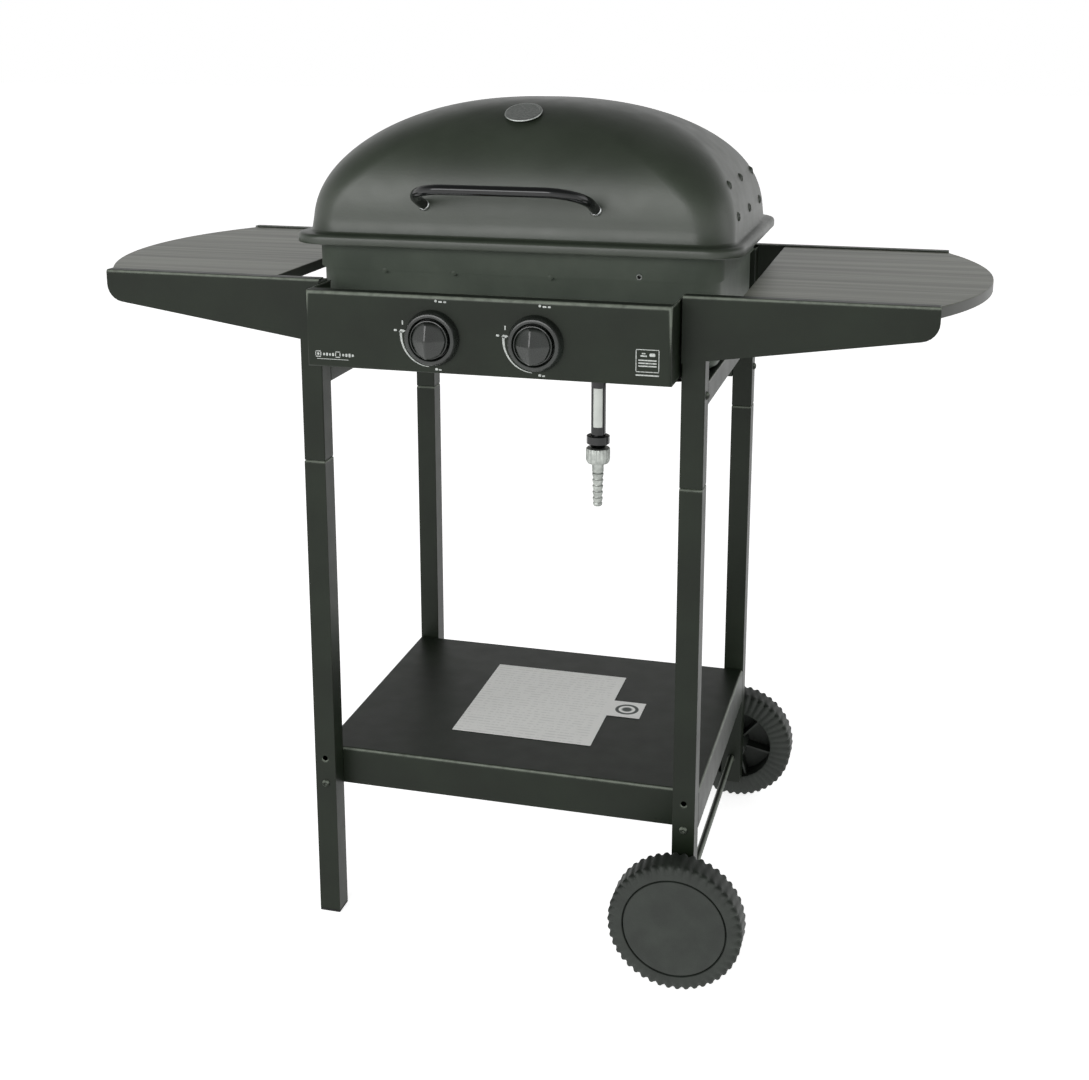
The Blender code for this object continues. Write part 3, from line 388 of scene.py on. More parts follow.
leaflet_paper, tree, shader, place = new_material("uncoated_leaflet_paper", "#fafbf8", 0.85)
spot = add_node(tree, "SeparateXYZ", {0: place})
line_waves = add_node(tree, "Math", {0: spot.outputs["Y"], 1: 2 * math.pi / LINE_GAP},
                      operation="MULTIPLY")
line_rows = add_node(tree, "Math", {0: line_waves.outputs["Value"]}, operation="SINE")
rows_on = add_node(tree, "MapRange", {"Value": line_rows.outputs["Value"], "From Min": 0.2,
                                      "From Max": 0.7})
across_lines = add_node(tree, "Mapping", {"Vector": place, "Scale": (1.0, 0.25, 1.0)})
words = add_node(tree, "TexNoise", {"Vector": across_lines.outputs["Vector"], "Scale": 1 / (5 * MM),
                                    "Detail": 2.0})
words_on = add_node(tree, "MapRange", {"Value": words.outputs["Fac"], "From Min": 0.42, "From Max": 0.55})
ink_here = add_node(tree, "Math", {0: rows_on.outputs["Result"], 1: words_on.outputs["Result"]},
                    operation="MULTIPLY")
label_low, label_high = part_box("shelf_label")
margin_x = add_node(tree, "MapRange", {"Value": spot.outputs["X"],
                                       "From Min": label_high.x - TAB_LENGTH,
                                       "From Max": label_high.x - TAB_LENGTH - 3 * MM})
ink_kept = add_node(tree, "Math", {0: ink_here.outputs["Value"], 1: margin_x.outputs["Result"]},
                    operation="MULTIPLY")
ink_faint = add_node(tree, "Math", {0: ink_kept.outputs["Value"], 1: 0.15}, operation="MULTIPLY")
ring_centre = (label_high.x - TAB_MIDDLE[0], (label_low.y + label_high.y) / 2 + TAB_MIDDLE[1],
               label_high.z)
from_ring = add_node(tree, "VectorMath", {0: place, 1: ring_centre}, operation="DISTANCE")
ring_off = add_node(tree, "Math", {0: from_ring.outputs["Value"], 1: RING_RADIUS},
                    operation="SUBTRACT")
ring_gap = add_node(tree, "Math", {0: ring_off.outputs["Value"]}, operation="ABSOLUTE")
ring_on = add_node(tree, "MapRange", {"Value": ring_gap.outputs["Value"],
                                      "From Min": RING_HALF_LINE + 1 * MM,
                                      "From Max": RING_HALF_LINE})
dot_on = add_node(tree, "MapRange", {"Value": from_ring.outputs["Value"],
                                     "From Min": DOT_RADIUS + 2.5 * MM, "From Max": DOT_RADIUS})
symbol = add_node(tree, "Math", {0: ring_on.outputs["Result"], 1: dot_on.outputs["Result"]},
                  operation="MAXIMUM")
ink_all = add_node(tree, "Math", {0: ink_faint.outputs["Value"], 1: symbol.outputs["Value"]},
                   operation="MAXIMUM")
printed = add_node(tree, "Mix", {"Factor": ink_all.outputs["Value"], "A": colour("#fafbf8"),
                                 "B": colour("#5c625f")}, data_type="RGBA")
tree.links.new(printed.outputs[2], shader.inputs["Base Color"])
rippled(tree, place, shader, 24 * MM, 0.5, 1.2 * MM)
print("leaflet:", round((label_high.x - label_low.x) / MM), "mm long")

# %% White ink, and the finish of each slot
white_ink, tree, shader, place = new_material("pad_printed_white_ink", "#cdd2ce", 0.6)
speckle = add_node(tree, "TexNoise", {"Vector": place, "Scale": 1 / (0.9 * MM), "Detail": 2.0})
ink_tone = add_node(tree, "ValToRGB", {0: speckle.outputs["Fac"]},
                    stops=[(0.36, "#7e837f"), (0.55, "#b9bdb9")])
tree.links.new(ink_tone.outputs["Color"], shader.inputs["Base Color"])

finish_of_slot = {
    "frame_paint": powder_coat, "lid_paint": heat_paint, "black_gloss": gloss_black,
    "board_face": oak_film, "knob_plastic": phenolic, "wheel_plastic": polypropylene,
    "foot_plastic": polyethylene, "zinc": die_cast_zinc, "brass": turned_brass,
    "bare_steel": bare_steel, "grate_enamel": vitreous, "label_paper": leaflet_paper,
    "badge_metal": badge_metal,
}
print("slots with a finish:", len(finish_of_slot))

# %% [markdown]
# ## Making pieces
# Every new piece goes through one function. It turns a bmesh into an object, shades it smooth
# where the faces meet gently, gives it a finish, and lets it ride on a CAD body. Round things are
# turned from a profile, as on a lathe; a Screw modifier could do that, but a function can also cut
# teeth, when a row of the profile says how deep. Bars are curves with a round bevel, which gives
# wires of exactly the right thickness.

# %% Put a piece in the scene
WELD = 1e-6                  # points closer than this are one point


def make_piece(name, shape, finish, body, stands_for=(), sharp=32.0):
    """Put a bmesh in the scene as a piece that rides on a body."""
    data = bpy.data.meshes.new(name)
    bmesh.ops.recalc_face_normals(shape, faces=shape.faces)
    shape.to_mesh(data)
    shape.free()
    return place_mesh(name, data, finish, body, stands_for, sharp)


def place_mesh(name, data, finish, body, stands_for=(), sharp=32.0):
    """Give a mesh its finish and shading and a body to ride on, and hide the CAD nodes it stands for."""
    data.materials.clear()
    data.materials.append(finish)
    data.shade_smooth()
    data.set_sharp_from_angle(angle=math.radians(sharp))
    piece = bpy.data.objects.new(name, data)
    scene.collection.objects.link(piece)
    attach(piece, body)
    if stands_for:
        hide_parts(*stands_for)
    return piece


def centre_of(node):
    low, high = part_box(node)
    return (low + high) / 2


CART_MIDDLE_Y = centre_of("lower_shelf").y
print("the cart's middle is at y =", round(CART_MIDDLE_Y * 1000, 2), "mm")

# %% Turned forms and blocks
def facing(place, axis):
    """A matrix that takes Z to an axis and the origin to a place."""
    turn = Vector((0, 0, 1)).rotation_difference(Vector(axis)).to_matrix().to_4x4()
    return Matrix.Translation(place) @ turn


def turn_on_lathe(shape, profile, matrix, steps=48, closed=False, teeth=0):
    """Add a turned form. A row is (radius, height) or (radius, height, radial cut, axial cut)."""
    columns = []
    for step in range(steps):
        angle = 2 * math.pi * step / steps
        wave = (0.5 - 0.5 * math.cos(teeth * angle)) ** 1.5 if teeth else 0.0
        column = []
        for row in profile:
            cut_in, cut_down = row[2:] if len(row) == 4 else (0.0, 0.0)
            radius, height = row[0] - wave * cut_in, row[1] - wave * cut_down
            column.append(shape.verts.new(matrix @ Vector((radius * math.cos(angle),
                                                           radius * math.sin(angle), height))))
        columns.append(column)
    rows = len(profile)
    for step in range(steps):
        here, after = columns[step], columns[(step + 1) % steps]
        for i in range(rows if closed else rows - 1):
            j = (i + 1) % rows
            shape.faces.new((here[i], after[i], after[j], here[j]))
    bmesh.ops.remove_doubles(shape, verts=[v for column in columns for v in column], dist=WELD)


def add_block(shape, low, high, matrix):
    """Add a box between two corners, then move it by a matrix."""
    low, high = Vector(low), Vector(high)
    made = bmesh.ops.create_cube(shape, size=1.0)["verts"]
    bmesh.ops.scale(shape, vec=high - low, verts=made)
    bmesh.ops.translate(shape, vec=(low + high) / 2, verts=made)
    bmesh.ops.transform(shape, matrix=matrix, verts=made)


print("Z turned to the front:", [round(v, 3) for v in facing((0, 0, 0), (0, -1, 0)).col[2]][:3])

# %% Bars and arcs
def bar_mesh(name, routes, radius, resolution=6):
    """The mesh of round bars that follow lines of points."""
    curve = bpy.data.curves.new(name, "CURVE")
    curve.dimensions = "3D"
    curve.bevel_depth = radius
    curve.bevel_resolution = resolution
    curve.use_fill_caps = True
    for route, is_loop in routes:
        spline = curve.splines.new("POLY")
        spline.points.add(len(route) - 1)
        for point, spot_on in zip(spline.points, route):
            point.co = (*spot_on, 1.0)
        spline.use_cyclic_u = is_loop
    helper = bpy.data.objects.new(name + "_helper", curve)
    scene.collection.objects.link(helper)
    bpy.context.view_layer.update()
    data = bpy.data.meshes.new_from_object(helper.evaluated_get(bpy.context.evaluated_depsgraph_get()))
    bpy.data.objects.remove(helper, do_unlink=True)
    return data


def arc(middle, radius, start, end, steps):
    """Points on a circle between two angles in degrees."""
    return [(middle[0] + radius * math.cos(math.radians(start + (end - start) * i / steps)),
             middle[1] + radius * math.sin(math.radians(start + (end - start) * i / steps)))
            for i in range(steps + 1)]


print("a quarter circle in 2 steps:", [tuple(round(v, 2) for v in xy) for xy in arc((0, 0), 1, 0, 90, 2)])

# %% [markdown]
# ## Finishing the CAD solids
# A sharp CAD edge never catches light, and a real folded or cut edge always does. Rounding every
# edge in the CAD would make it heavy, so each solid is copied as a clean mesh instead: doubled
# points are joined, flat areas become single faces, and the edges get a narrow two-step bevel.
# Sheet parts are already folded round in the CAD and need none. The copy stands for the CAD node,
# which stays for the physics.

# %% A clean, rounded copy of a CAD solid
FLAT_WITHIN, ROUND_ABOVE, CRISP_ABOVE = 0.6, 40.0, 50.0      # angles between faces, in degrees


def finish_node(node, rounding=0.0, finish=None):
    """A clean copy of a CAD node, with rounded edges and its slot's finish."""
    shape = bmesh.new()
    shape.from_mesh(frame["nodes"][node].data)
    bmesh.ops.remove_doubles(shape, verts=shape.verts, dist=WELD)
    bmesh.ops.dissolve_limit(shape, angle_limit=math.radians(FLAT_WITHIN), verts=shape.verts,
                             edges=shape.edges)
    slot = slot_of_node[node]
    piece = make_piece(node + "_finished", shape, finish or finish_of_slot[slot], body_of_node[node],
                       stands_for=(node,), sharp=CRISP_ABOVE)
    if rounding:
        bevel = piece.modifiers.new("rounded_edges", "BEVEL")
        bevel.width = rounding
        bevel.segments = 2
        bevel.limit_method = "ANGLE"
        bevel.angle_limit = math.radians(ROUND_ABOVE)
        bevel.use_clamp_overlap = True
    even = piece.modifiers.new("even_shading", "WEIGHTED_NORMAL")
    even.keep_sharp = True


print("edges sharper than", ROUND_ABOVE, "degrees are rounded")

# %% Copy the solids
TUBE_EDGE, BOARD_EDGE, PLATE_EDGE = 1.2 * MM, 0.9 * MM, 0.3 * MM
RUNNER_EDGE, FOOT_EDGE = 0.4 * MM, 0.5 * MM
SIDES = (("left", -1), ("right", 1))
ENDS = (("front", -1), ("rear", 1))
for side, _ in SIDES:
    finish_node(f"side_rail_{side}", TUBE_EDGE)
    finish_node(f"tray_runner_{side}", RUNNER_EDGE)
    finish_node(f"table_board_{side}", BOARD_EDGE)
    for part in ("burner", "valve", "valve_stem", "spring_cup"):
        finish_node(f"{part}_{side}")
    finish_node(f"hinge_base_{side}", PLATE_EDGE)
    finish_node(f"hinge_ear_{side}", PLATE_EDGE)
    finish_node(f"hinge_pin_{side}")
    for end, _ in ENDS:
        finish_node(f"leg_lower_{end}_{side}", TUBE_EDGE)
        finish_node(f"leg_upper_{end}_{side}", TUBE_EDGE)
        finish_node(f"table_bracket_{end}_{side}")
for end, _ in ENDS:
    finish_node(f"foot_{end}_left", FOOT_EDGE)
finish_node("rear_cross_rail", TUBE_EDGE)
for node in ("lower_shelf", "shelf_label", "heat_plate", "drip_tray", "manifold_pipe", "inlet_fitting",
             "axle", "control_panel"):
    finish_node(node)
finish_node("firebox", finish=box_paint)

# %% [markdown]
# ## The lid
# The real lid is one deep-drawn sheet: a soft dome with round corners, and a brim that is folded
# down round the firebox. It could be sculpted or subdivided from a cube, but then its outline
# would only be near to the real one. A stack of rounded rectangles that shrink along a
# superellipse gives exactly that skin. Solidify gives it the sheet's thickness, and real holes are
# cut for the vents.

# %% The dome's form
lid_low, lid_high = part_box("lid")
LID_Y = (lid_low.y + lid_high.y) / 2
LID_FOOT = lid_low.z + 12 * MM
DOME_X, DOME_DEPTH, DOME_HEIGHT = 0.240, 0.150, 0.144       # half width, half depth, height
CURVE_X, CURVE_Y = 2.35, 2.6                                # the superellipses' exponents
CORNER_AT_FOOT = 0.042
WIDEST_CORNER = 0.97                                        # a part of the half depth


def dome_half_sizes(height):
    part = min(height / DOME_HEIGHT, 1.0)
    return (DOME_X * (1 - part ** CURVE_X) ** (1 / CURVE_X),
            DOME_DEPTH * (1 - part ** CURVE_Y) ** (1 / CURVE_Y))


def dome_corner(height, half_y):
    """The radius of the corners seen from above: small at the foot, nearly an ellipse on top."""
    growth = (0.96 * half_y - CORNER_AT_FOOT) * (height / DOME_HEIGHT) ** 2.2
    return min(CORNER_AT_FOOT + growth, WIDEST_CORNER * half_y)


def gap_to_side(point):
    """How far inside the dome's left or right side a point is."""
    height = point.z - LID_FOOT
    half_x, half_y = dome_half_sizes(height)
    corner = dome_corner(height, half_y)
    into_corner = max(0.0, abs(point.y - LID_Y) - (half_y - corner))
    return half_x - corner + math.sqrt(max(0.0, corner ** 2 - into_corner ** 2)) - abs(point.x)


print("half width half way up:", round(dome_half_sizes(DOME_HEIGHT / 2)[0] / MM), "mm")

# %% Lid pressing
LEVELS = 40
TOP_ANGLE = 90 * (13 / 14)          # degrees; the last ring is closed by one flat face
SHEET = 1.2 * MM


def rounded_loop(half_x, half_y, radius, z, steps=14):
    """A rectangle with round corners, seen from above."""
    loop = []
    for corner, (sign_x, sign_y) in enumerate(((1, 1), (-1, 1), (-1, -1), (1, -1))):
        for step in range(steps + 1):
            angle = math.radians(90 * (corner + step / steps))
            loop.append((sign_x * (half_x - radius) + radius * math.cos(angle),
                         LID_Y + sign_y * (half_y - radius) + radius * math.sin(angle), z))
    return loop


# Each row is (how far in from the brim's outer face, height above the brim's lower edge).
brim_rows = [(0.0008, 0.0), (0.0002, 0.0004), (0.0, 0.0012), (0.0, 0.0070), (0.0004, 0.0084),
             (0.0012, 0.0096), (0.0024, 0.0105), (0.0040, 0.0109), (0.0080, 0.0113), (0.0098, 0.0117),
             (0.0110, 0.0125), (0.0118, 0.0138)]
brim_x, brim_depth = lid_high.x, (lid_high.y - lid_low.y) / 2
loops = [rounded_loop(brim_x - inset, brim_depth - inset, 0.038 + inset * 0.1, lid_low.z + up_by)
         for inset, up_by in brim_rows]
for level in range(2, LEVELS + 1):
    height = DOME_HEIGHT * math.sin(math.radians(TOP_ANGLE * level / LEVELS)) ** 0.85
    half_x, half_y = dome_half_sizes(height)
    loops.append(rounded_loop(half_x, half_y, dome_corner(height, half_y), LID_FOOT + height))
shape = bmesh.new()
rings = [[shape.verts.new(point) for point in loop] for loop in loops]
for lower_ring, upper_ring in zip(rings, rings[1:]):
    for i in range(len(lower_ring)):
        j = (i + 1) % len(lower_ring)
        shape.faces.new((lower_ring[i], lower_ring[j], upper_ring[j], upper_ring[i]))
shape.faces.new(rings[-1])
lid = make_piece("lid_pressing", shape, heat_paint, "lid", ("lid",), sharp=CRISP_ABOVE)
sheet_wall = lid.modifiers.new("sheet", "SOLIDIFY")
sheet_wall.thickness = SHEET
sheet_wall.offset = -1.0
print("rings in the lid:", len(rings))

# %% Vent holes
VENT_RADIUS = 3.2 * MM


def settle_modifiers(piece):
    """Make a piece's modifiers part of its mesh."""
    bpy.context.view_layer.update()
    settled = bpy.data.meshes.new_from_object(piece.evaluated_get(bpy.context.evaluated_depsgraph_get()))
    piece.modifiers.clear()
    piece.data = settled
    settled.shade_smooth()
    settled.set_sharp_from_angle(angle=math.radians(CRISP_ABOVE))


# Each line goes from inside the dome to outside it, slightly upwards.
vent_lines = [(Vector((sign * 0.196, LID_Y + y, z - 0.004)), Vector((sign * 0.262, LID_Y + y, z + 0.006)))
              for _, sign in SIDES for z in (0.834, 0.868) for y in (-0.085, 0.0, 0.085)]
shape = bmesh.new()
for inside, outside in vent_lines:
    length = (outside - inside).length
    turn_on_lathe(shape, [(0.0, 0.0), (VENT_RADIUS, 0.0), (VENT_RADIUS, length), (0.0, length)],
                  facing(inside, outside - inside), steps=20)
cutter_mesh = bpy.data.meshes.new("vent_cutter")
bmesh.ops.recalc_face_normals(shape, faces=shape.faces)
shape.to_mesh(cutter_mesh)
shape.free()
cutter = bpy.data.objects.new("vent_cutter", cutter_mesh)
scene.collection.objects.link(cutter)
holes = lid.modifiers.new("vents", "BOOLEAN")
holes.solver = "EXACT"
holes.object = cutter
settle_modifiers(lid)
bpy.data.objects.remove(cutter, do_unlink=True)
lid_top = max(vertex.co.z for vertex in lid.data.vertices)
print("lid faces:", len(lid.data.polygons), "top at", round(lid_top, 4))

# %% Vent collars
TRIES = 200
shape = bmesh.new()
for inside, outside in vent_lines:
    # Of evenly spaced points on the vent's line, the nearest to the dome's side takes the collar.
    on_line = [inside.lerp(outside, i / (TRIES - 1)) for i in range(TRIES)]
    spot_on = min(on_line, key=lambda point: abs(gap_to_side(point)))
    turn_on_lathe(shape, [(VENT_RADIUS, -1.6 * MM), (VENT_RADIUS, 1.1 * MM), (3.6 * MM, 1.5 * MM),
                          (4.4 * MM, 1.2 * MM), (5.6 * MM, -0.4 * MM), (6.4 * MM, -1.6 * MM)],
                  facing(spot_on, outside - inside), 20, closed=True)
make_piece("vent_collars", shape, heat_paint, "lid", sharp=CRISP_ABOVE)
print("vent collars:", len(vent_lines))

# %% [markdown]
# ## Handle and badge
# The handle is one bar, bent twice and fixed with bright washers and screws from inside the lid.
# A cylinder could be bent by a modifier, but a poly curve with a round bevel keeps both bends at
# their true radius. The badge is a small spun disc with a raised rim, turned from its profile and
# tilted to lie on the dome.

# %% Lid handle
HANDLE_RADIUS, HANDLE_BEND = 5.5 * MM, 42 * MM
HANDLE_FOOT_X, HANDLE_FOOT_Z = 0.096, LID_FOOT + 0.034
WASHER_TOP = 2.8 * MM
foot_y = LID_Y - dome_half_sizes(HANDLE_FOOT_Z - LID_FOOT)[1]
handle_foot = Vector((0.0, foot_y, HANDLE_FOOT_Z))
outward = Vector((0.0, LID_Y - 0.210, LID_FOOT + 0.058)) - handle_foot
straight = outward.length - WASHER_TOP - HANDLE_BEND
outward.normalize()
handle_root = handle_foot + outward * WASHER_TOP
half = [(HANDLE_FOOT_X, d) for d in (0.0, straight / 2)]
half += arc((HANDLE_FOOT_X - HANDLE_BEND, straight), HANDLE_BEND, 0, 90, 28)
line = half + [(-x, d) for x, d in half[::-1]]
route = [tuple(handle_root + outward * d + Vector((x, 0.0, 0.0))) for x, d in line]
handle_data = bar_mesh("lid_handle_bar", [(route, False)], HANDLE_RADIUS, 8)
place_mesh("lid_handle_bar", handle_data, gloss_black, "lid", ("lid_handle",))
shape = bmesh.new()
for _, sign in SIDES:
    seat = Vector((sign * HANDLE_FOOT_X, foot_y, HANDLE_FOOT_Z)) + outward * 0.8 * MM
    turn_on_lathe(shape, [(0.0, 0.0), (6.6 * MM, 0.0), (6.8 * MM, 0.8 * MM), (6.3 * MM, 2.0 * MM),
                          (5.6 * MM, 2.6 * MM), (0.0, 2.6 * MM)], facing(seat, outward), 40)
make_piece("handle_washers", shape, chrome, "lid")
print("handle feet are", round(2 * HANDLE_FOOT_X / MM), "mm apart")

# %% Lid badge
BADGE_Y, BADGE_TILT = -88 * MM, 24.0
badge_height = DOME_HEIGHT * (1 - (abs(BADGE_Y) / DOME_DEPTH) ** CURVE_Y) ** (1 / CURVE_Y)
badge_place = Vector((0.0, LID_Y + BADGE_Y - 0.6 * MM, LID_FOOT + badge_height + 2.2 * MM))
shape = bmesh.new()
turn_on_lathe(shape, [(0.0, 1.5 * MM), (17.6 * MM, 1.4 * MM), (18.0 * MM, 1.7 * MM), (19.6 * MM, 1.7 * MM),
                      (20.6 * MM, 1.2 * MM), (21.0 * MM, 0.4 * MM), (21.0 * MM, 0.0), (0.0, 0.0)],
              Matrix.Translation(badge_place) @ Matrix.Rotation(math.radians(BADGE_TILT), 4, "X"), 64)
make_piece("lid_badge_disc", shape, badge_metal, "lid", ("lid_badge",))
print("badge at height", round(badge_place.z, 3), "m")

# %% [markdown]
# ## Control panel: bezels and knobs
# Each knob has a flared bezel round it and a grip ridge across its face, with the plastic falling
# away on both sides. Cutting the slopes from a disc would leave ragged faces where the cuts meet.
# So the front is a disc of rings and spokes whose height follows that shape, and the ridge and
# the slopes are real geometry on an even mesh.

# %% Bezels
PANEL_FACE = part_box("control_panel")[0].y
KNOB_BASE = PANEL_FACE - 0.3 * MM      # a hair in front of the panel, so that faces don't fight
knob_spots = {side: centre_of(f"bezel_{side}") for side, _ in SIDES}


def add_bezel(side):
    """A flared ring with a plate behind the knob."""
    spot_on = knob_spots[side]
    shape = bmesh.new()
    turn_on_lathe(shape, [(25.0 * MM, 10.0 * MM), (26.6 * MM, 9.4 * MM), (27.8 * MM, 7.6 * MM),
                          (28.6 * MM, 5.0 * MM), (29.4 * MM, 1.6 * MM), (30.0 * MM, 0.0),
                          (9.0 * MM, 0.0), (9.0 * MM, 2.0 * MM), (21.0 * MM, 2.0 * MM),
                          (22.3 * MM, 8.6 * MM), (23.2 * MM, 9.8 * MM)],
                  facing((spot_on.x, KNOB_BASE, spot_on.z), (0, -1, 0)), 96, closed=True)
    make_piece(f"knob_bezel_{side}", shape, phenolic, "cart", (f"bezel_{side}",))


print("knobs are", round((knob_spots["right"].x - knob_spots["left"].x) / MM), "mm apart")

# %% Knobs
KNOB_BACK, KNOB_DEPTH, KNOB_RADIUS = 6 * MM, 20 * MM, 20.5 * MM
FRONT_RADIUS = 18.8 * MM
SPOKES = 96
FRONT_RINGS = (0.0, 0.12, 0.22, 0.32, 0.42, 0.52, 0.62, 0.72, 0.80, 0.86, 0.91, 0.95, 0.98, 1.0)
# The side and back of a knob, as (radius, height from the knob's back).
KNOB_SIDE = ((19.2 * MM, 6.6 * MM), (19.6 * MM, 6.0 * MM), (20.3 * MM, 5.8 * MM), (KNOB_RADIUS, 5.2 * MM),
             (KNOB_RADIUS, 1.2 * MM), (20.0 * MM, 0.0), (4.0 * MM, 0.0), (4.0 * MM, 10.0 * MM),
             (0.0, 10.0 * MM))


def slope_down(distance, flat, degrees):
    """The fall along a slope that starts, with a soft bend, beyond a flat part."""
    away = abs(distance) - flat
    return math.tan(math.radians(degrees)) * (away + math.hypot(away, 0.2 * MM)) / 2


def knob_front(x, z):
    """How far the knob's front stands out: a hip-roof ridge with four facets and a soft rim."""
    rim = max(0.0, math.hypot(x, z) / FRONT_RADIUS - 0.88) / 0.12
    return KNOB_DEPTH - slope_down(x, 0.8 * MM, 37) - slope_down(z, 0.4 * MM, 15) - 1.0 * MM * rim ** 2


def add_knob(side):
    """A knob made of rings: the shaped front, then the side, the back and the stem's socket."""
    spot_on = knob_spots[side]
    turns = [2 * math.pi * spoke / SPOKES for spoke in range(SPOKES)]
    rows = []
    for fraction in FRONT_RINGS:
        radius = FRONT_RADIUS * fraction
        flat = [(radius * math.cos(a), radius * math.sin(a)) for a in turns]
        rows.append([(x, z, knob_front(x, z)) for x, z in flat])
    for radius, stand in KNOB_SIDE:
        rows.append([(radius * math.cos(a), radius * math.sin(a), stand) for a in turns])
    shape = bmesh.new()
    rings = [[shape.verts.new((spot_on.x + x, KNOB_BASE - KNOB_BACK - stand, spot_on.z + z))
              for x, z, stand in row] for row in rows]
    for inner, outer in zip(rings, rings[1:]):
        for i in range(SPOKES):
            j = (i + 1) % SPOKES
            shape.faces.new((inner[i], inner[j], outer[j], outer[i]))
    bmesh.ops.remove_doubles(shape, verts=shape.verts, dist=WELD)
    make_piece(f"burner_knob_{side}", shape, phenolic, f"turn_{side}", (f"knob_{side}",),
               sharp=13)


for side, _ in SIDES:
    add_bezel(side)
    add_knob(side)
print("knob face to panel:", round((KNOB_BACK + KNOB_DEPTH) * 1000, 1), "mm")

# %% [markdown]
# ## Print on the panel
# The flame scale beside each knob is a white crescent that narrows from full to low. It and the
# small marks round it are pad printed. A mask in the shader would blur them close up, so they are
# cut as thin flat shapes, a tenth of a millimetre thick, which stay crisp. The plates and marks
# are plain bars with no lettering.

# %% Printed shapes
INK_BACK, INK_FRONT = 0.02 * MM, 0.14 * MM          # distances in front of the panel


def print_shapes(name, outlines):
    """Thin printed shapes on the panel's face, from outlines of (x, z)."""
    shape = bmesh.new()
    for outline in outlines:
        back = [shape.verts.new((x, PANEL_FACE - INK_BACK, z)) for x, z in outline]
        front = [shape.verts.new((x, PANEL_FACE - INK_FRONT, z)) for x, z in outline]
        shape.faces.new(back)
        shape.faces.new(front[::-1])
        for i in range(len(outline)):
            j = (i + 1) % len(outline)
            shape.faces.new((back[i], back[j], front[j], front[i]))
    make_piece(name, shape, white_ink, "cart")
    print(name + ":", len(outlines), "shapes")


def bar_outline(x, z, width, height):
    """A bar with cut corners, from its middle."""
    w, h = width / 2, height / 2
    cut = min(w, h) * 0.5
    return [(x - w + cut, z - h), (x + w - cut, z - h), (x + w, z - h + cut), (x + w, z + h - cut),
            (x + w - cut, z + h), (x - w + cut, z + h), (x - w, z + h - cut), (x - w, z - h + cut)]


def frame_outlines(x, z, width, height, line_width):
    """Four bars round a rectangle."""
    w, h = width / 2, height / 2
    return [bar_outline(x, z - h, width, line_width), bar_outline(x, z + h, width, line_width),
            bar_outline(x - w, z, line_width, height - 2 * line_width),
            bar_outline(x + w, z, line_width, height - 2 * line_width)]


# %% Flame scales
SCALE_START, SCALE_SWEEP, SCALE_STEPS = 171, 92, 32         # degrees round the knob, and steps
SCALE_RADIUS, SCALE_PULLED_IN = 34.7 * MM, 3.7 * MM
SCALE_HALF_WIDTH, SCALE_THINNED = 1.25 * MM, 1.0 * MM
flame = [(-0.0365, 0.0052), (-0.0340, 0.0040), (-0.0305, 0.0052), (-0.0290, 0.0066),
         (-0.0315, 0.0074), (-0.0345, 0.0078)]
# Bars round a knob, as (x and z from the knob's middle, width, height).
scale_bars = ((-0.0405, 0.0066, 0.0034, 0.0022), (-0.0325, 0.0150, 0.0014, 0.0046),
              (0.0045, 0.0395, 0.0026, 0.0026), (0.0095, 0.0388, 0.0040, 0.0018),
              (0.0145, 0.0388, 0.0030, 0.0018), (0.0045, -0.0330, 0.0030, 0.0024),
              (0.0085, -0.0335, 0.0030, 0.0016))


def crescent(x, z):
    """The scale's outline round a knob: out along the far edge and back along the near one."""
    edges = []
    for sign in (1, -1):
        edge = []
        for i in range(SCALE_STEPS + 1):
            part = i / SCALE_STEPS
            angle = math.radians(SCALE_START + SCALE_SWEEP * part)
            half_width = SCALE_HALF_WIDTH - SCALE_THINNED * part
            radius = SCALE_RADIUS - SCALE_PULLED_IN * part + sign * half_width
            edge.append((x + radius * math.cos(angle), z + radius * math.sin(angle)))
        edges.append(edge)
    return edges[0] + edges[1][::-1]


for side, _ in SIDES:
    knob_x, knob_z = knob_spots[side].x, knob_spots[side].z
    outlines = [crescent(knob_x, knob_z), [(knob_x + x, knob_z + z) for x, z in flame]]
    outlines += [bar_outline(knob_x + x, knob_z + z, wide, high) for x, z, wide, high in scale_bars]
    print_shapes(f"flame_scale_{side}", outlines)

# %% Small marks on both ends of the panel
MARKS_Z = 0.6955                                            # the middle of the small row
FINE_LINE = 0.9 * MM
small_marks = frame_outlines(-0.1845, MARKS_Z, 0.0058, 0.0058, FINE_LINE)
small_marks += [bar_outline(-0.1845, MARKS_Z, 0.0026, 0.0026)]
small_marks += [bar_outline(-0.1778 + 0.0034 * i, 0.6953, 0.0021, 0.0026 + 0.0008 * (i % 2))
                for i in range(4)]
small_marks += frame_outlines(-0.1622, MARKS_Z, 0.0050, 0.0058, FINE_LINE)
small_marks += [bar_outline(-0.1560 + 0.0036 * i, 0.6953, 0.0023, 0.0026 + 0.0007 * (i % 3))
                for i in range(4)]
small_marks += [bar_outline(-0.168, 0.6902, 0.036, 0.0006)]
print_shapes("maker_marks", small_marks)

PLATE_X = 0.1730                                            # the middle of the rating plate
plate_marks = frame_outlines(PLATE_X, 0.7075, 0.0235, 0.0230, 0.0008)
plate_marks += [bar_outline(PLATE_X - 0.0040, 0.7125, 0.0068, 0.0016),
                bar_outline(PLATE_X - 0.0040, 0.7150, 0.0036, 0.0012),
                bar_outline(PLATE_X + 0.0050, 0.7138, 0.0060, 0.0034)]
plate_marks += [bar_outline(PLATE_X, 0.7080 - 0.0030 * i, 0.0190, 0.0013) for i in range(3)]
plate_marks += [bar_outline(PLATE_X, 0.6925, 0.0240, 0.0014)]
print_shapes("rating_plate_marks", plate_marks)

